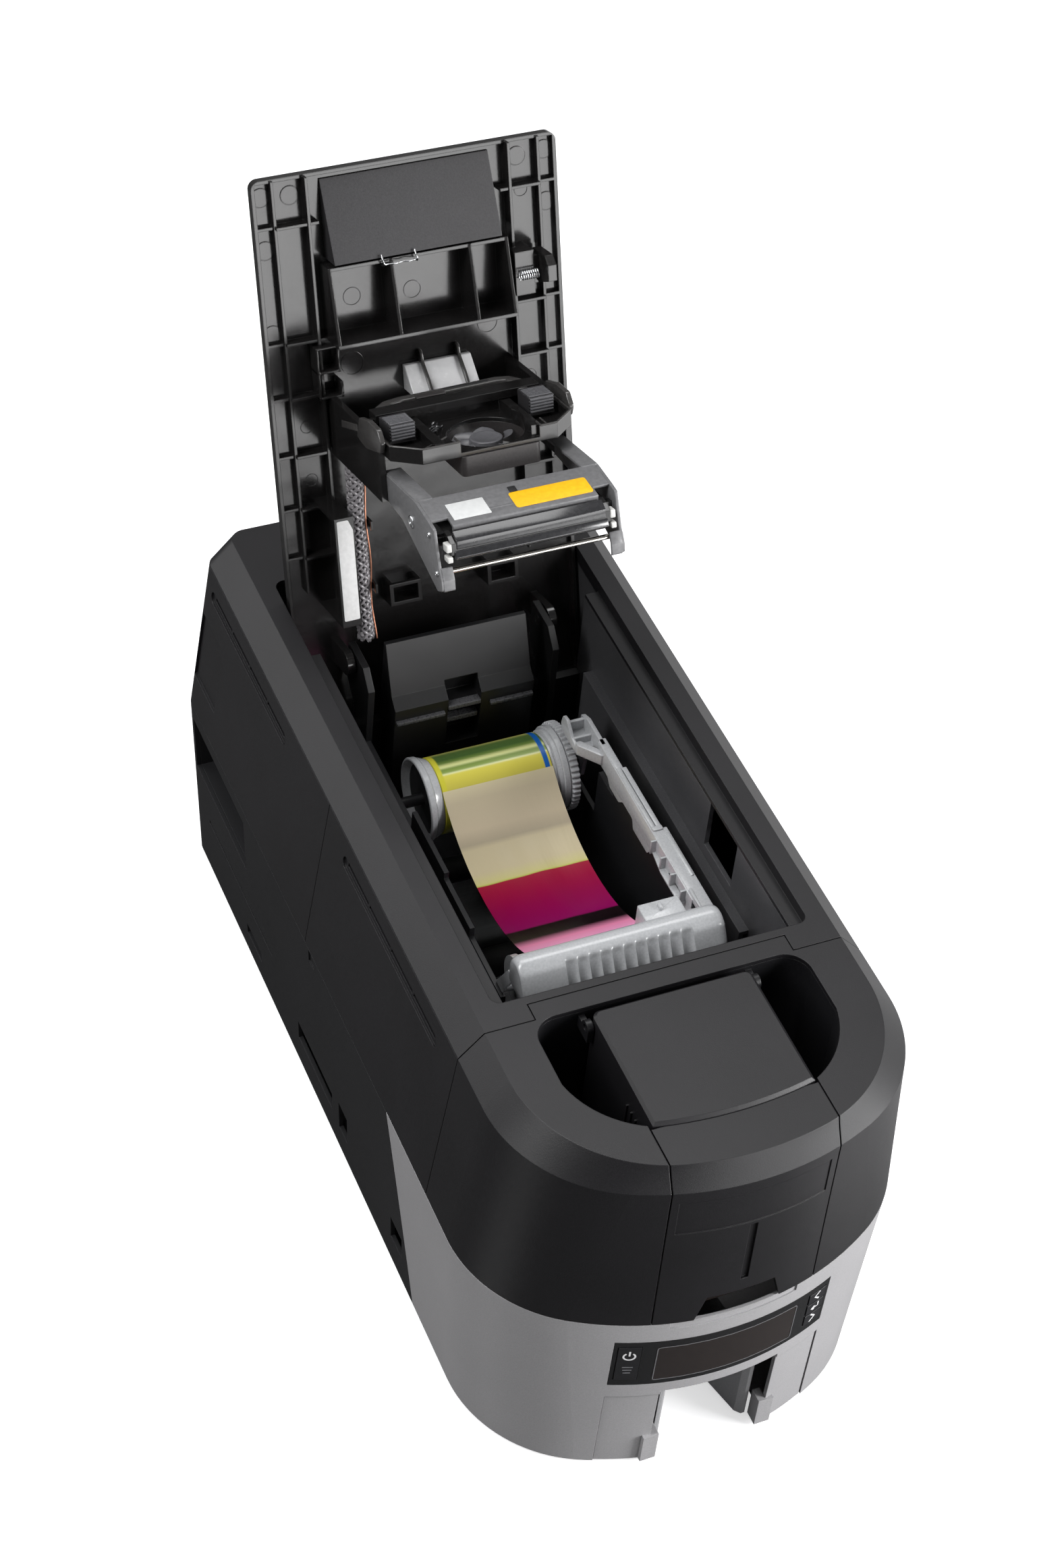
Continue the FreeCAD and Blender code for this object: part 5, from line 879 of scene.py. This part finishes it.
rail_moulding = skins("cartridge_moulding", cartridge_parts, cartridge_grey, "printer_base", slot="light_grey")
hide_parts("cartridge_frame")

# Carry handle of the head: a bowed glossy bar over the fan, with a slot and a
# lighter wear patch, moulded on the black carrier. The bar is drawn in a grey
# lighter than the lid's black, a painted highlight on its glossy faces.
bow = [(-38, 172.6), (-35.5, 178.0), (-31, 182.2), (-24, 183.9), (-13, 184.2), (9.7, 184.8), (27, 185.2),
       (32.4, 183.4), (35.2, 178.2), (35.0, 171.0), (33.0, 166.4)]
bow_side = line_band(stepped(bow, 61), 2.7)
bow_outline = np.concatenate([bow_side[:, 0], bow_side[::-1, 1]])
# A grey several times lighter than the lid's black: painted highlight on the glossy edges, bars, ribs and
# levers it is put on.
edge_highlight_grey = moulded("lid_edge_painted_highlight", (0.05, 0.048, 0.047), 0.2, 700, 0.006, coat=0.3)
slot_outline = eased(box(24.0, 1.9, 11.0, 184.6), 0.8)
pad_outline = eased(box(15.0, 4.6, -9.0, 181.0), 0.6)
on_lid("carry_handle", [slab(bow_outline, 229.4, 233.4, 0.8, "xzy")], edge_highlight_grey)
# The slot is a thin black plate laid on the bar: painted shade, not a cut.
on_lid("handle_slot", [slab(slot_outline, 229.25, 229.6, 0.1, "xzy")], black_and_painted_shade)
on_lid("handle_pad", [slab(pad_outline, 228.9, 229.6, 0.2, "xzy")], fan_shell)

# Tray edges: the thin rim that runs round the fan tray, and the low partition
# ribs inside it, all moulded with the tray, in the lighter grey of painted
# highlight along their crests.
rim_y, partition_y = 233.4, 235.5
rim_left = [(-46.0, 171.5), (-46.0, 138.8), (-34.0, 127.2), (-15.8, 127.2), (-15.8, 133.0)]
rim_right = [(25.8, 133.0), (25.8, 127.2), (34.0, 127.2), (46.0, 138.8), (46.0, 171.5)]
rim_parts = []
for rim in (rim_left, rim_right):
    rim_parts.append(along_path(stepped([(x, rim_y, z) for x, z in rim], 49), 0.55))
for x0, z0, x1, z1 in [(-33, 131, -17, 141), (-21, 128, -21, 141), (-44, 141, -31, 131), (31, 130, 31, 141)]:
    rim_parts.append(along_path(np.linspace((x0, partition_y, z0), (x1, partition_y, z1), 12), 0.5))
on_lid("tray_rim_painted_highlight", rim_parts, edge_highlight_grey)

# Grip lines of the two thumb tabs, moulded with them: with the lid closed,
# five rounded bars lie under each tab and seven finer ones on its front. They
# are drawn in the fan's lighter grey, a painted highlight on the black bars.
grip_near, grip_far = 29.6, 41.4
for side, body in ((-1, "thumb_tab_left"), (1, "thumb_tab_right")):
    bars = [(228.9 + 1.55 * i, 148.9, 0.62) for i in range(5)]
    bars += [(228.0, 150.6 + 1.6 * i, 0.55) for i in range(7)]
    lines = []
    for y, z, radius in bars:
        lines.append(along_path(np.linspace((side * grip_near, y, z), (side * grip_far, y, z), 9), radius))
    skins(body + "_grip", lines, fan_grey, body, place=swung)

# Light metal plate behind the head: bright pressed sheet, held under two
# curved black ribs of the lid.
plate_outline = [(227.0, 221.0), (227.0, 218.0), (240.0, 206.0), (240.0, 221.0)]
plate_silver = moulded("plate_silver", (0.72, 0.72, 0.73), 0.26, 300, 0.004, shift=0.10, coat=0.5)
light_plate = on_lid("head_light_plate", [upright(plate_outline, 0.6, -8.0, 27.0, 0.3)], plate_silver,
                     slot="plate_metal")
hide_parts("head_plate")
# The two ribs are in the lighter grey of painted highlight on their black edges.
rib_outline = [(220.5, 221.0), (221.5, 217.4), (226.0, 216.6), (233.0, 209.2), (240.6, 203.4),
               (244.4, 201.6), (245.2, 221.0)]
on_lid("head_plate_ribs", [upright(rib_outline, 1.4, x, x + 1.5, 0.3) for x in (0.4, 19.8)], edge_highlight_grey)

# Side levers of the head carrier: glossy black plastic, pivoted on either
# side of the carrier, each with an arm that reaches up to the lid.
lever_outline = [(241.0, 176.0), (229.6, 171.0), (226.8, 158.0), (227.2, 146.0), (233.0, 141.6),
                 (238.6, 144.0), (240.4, 152.0), (243.0, 164.0)]
lever_arm = [(238.0, 174.0), (244.0, 198.0), (240.0, 198.0), (234.0, 174.0)]
lever_far = 49.35
lever_parts = []
for side in (-1, 1):
    lever_parts.append(beside(lever_outline, 1.2, side, 46.8, lever_far, 0.5))
    lever_parts.append(beside(lever_arm, 0.8, side, 47.4, lever_far, 0.3))
# The levers are in the lighter grey of painted highlight on their glossy edges.
on_lid("carrier_levers", lever_parts, edge_highlight_grey)

# Cable guide frame on the lid's left and the round marks of the mould's
# ejector pins, both moulded in the lid's inner face.
guide_parts = [plan(x0, x1, y0, y1, 211.0, 221.0, 0.3, 0.25) for x0, x1, y0, y1 in [
    (-54.8, -53.6, 208, 234), (-54.8, -44, 207.4, 208.6), (-54.8, -44, 219.6, 220.8),
    (-54.8, -42.5, 232.6, 233.8), (-44.2, -43.0, 208, 221), (-43.6, -42.2, 226, 234)]]
on_lid("cable_guide_frame", guide_parts, lid_black)
mark_parts = []
for x, y, r in [(-33.6, 221.7, 6.0), (38.0, 214.0, 5.4), (-59.5, 250.0, 3.4), (-59.5, 278.0, 3.4),
                (59.5, 150.0, 3.6), (59.5, 246.0, 3.4), (0.0, 190.0, 4.6), (-31.0, 188.0, 4.6)]:
    mark_profile = [(0.0, r - 0.45), (-0.3, r - 0.35), (-0.3, r - 0.1), (0.0, r)]
    mark_parts.append(turned_about(mark_profile, 40, (x, y, 221.42), "z"))
on_lid("lid_mould_marks", mark_parts, lid_black, caps=False)

# Leads of the fan: three thin black wires that wander side by side from its
# frame to the carrier.
lead_share = np.linspace(0, 1, 40)
lead_parts = []
for k in range(3):
    lead_x = -24.0 + 13.0 * lead_share + 1.4 * k * np.sin(5 * lead_share)
    lead_y = 237.2 + 1.1 * np.sin(8 * lead_share + k)
    lead_z = 152.0 + 11.0 * lead_share + 2.2 * np.sin(6 * lead_share + 1.3 * k)
    lead_parts.append(along_path(np.stack([lead_x, lead_y, lead_z], -1), 0.5))
on_lid("fan_leads", lead_parts, head_gloss)

# Catch step behind the card notch of the hopper door: a dark gloss step with a
# pale strip along its front edge, a painted highlight, moulded on the front
# cover and standing on its sill.
skins("notch_catch_bar", [plan(-13.5, 13.5, 9.0, 16.0, 116.5, 126.4, 0.8, 0.5)], glass_dark, "printer_base")
skins("notch_catch_painted_highlight", [plan(-12.5, 12.5, 8.7, 9.2, 125.4, 126.3, 0.2, 0.1)], icon_white, "printer_base")

# Ledges of the rear block: two shelf strips and the two steps of the lid catch,
# satin mouldings that stand out of the block's face, in a grey much lighter than
# the block: painted highlight on their tops.
ledge_painted_highlight = moulded("ledge_painted_highlight", (0.055, 0.055, 0.058), 0.28, 900, 0.01)
shelf_parts = [plan(x0, x1, 343.8, 346.8, 176.4, 178.4) for x0, x1 in ((-37.4, -11.0), (14.0, 37.4))]
step_parts = [plan(-8.8, 8.8, 345.2, 350.0, 178.1, 180.8), plan(-8.6, 8.6, 347.5, 352.0, 167.5, 170.5)]
skins("rear_block_ledges", shelf_parts + step_parts, ledge_painted_highlight, "printer_base")
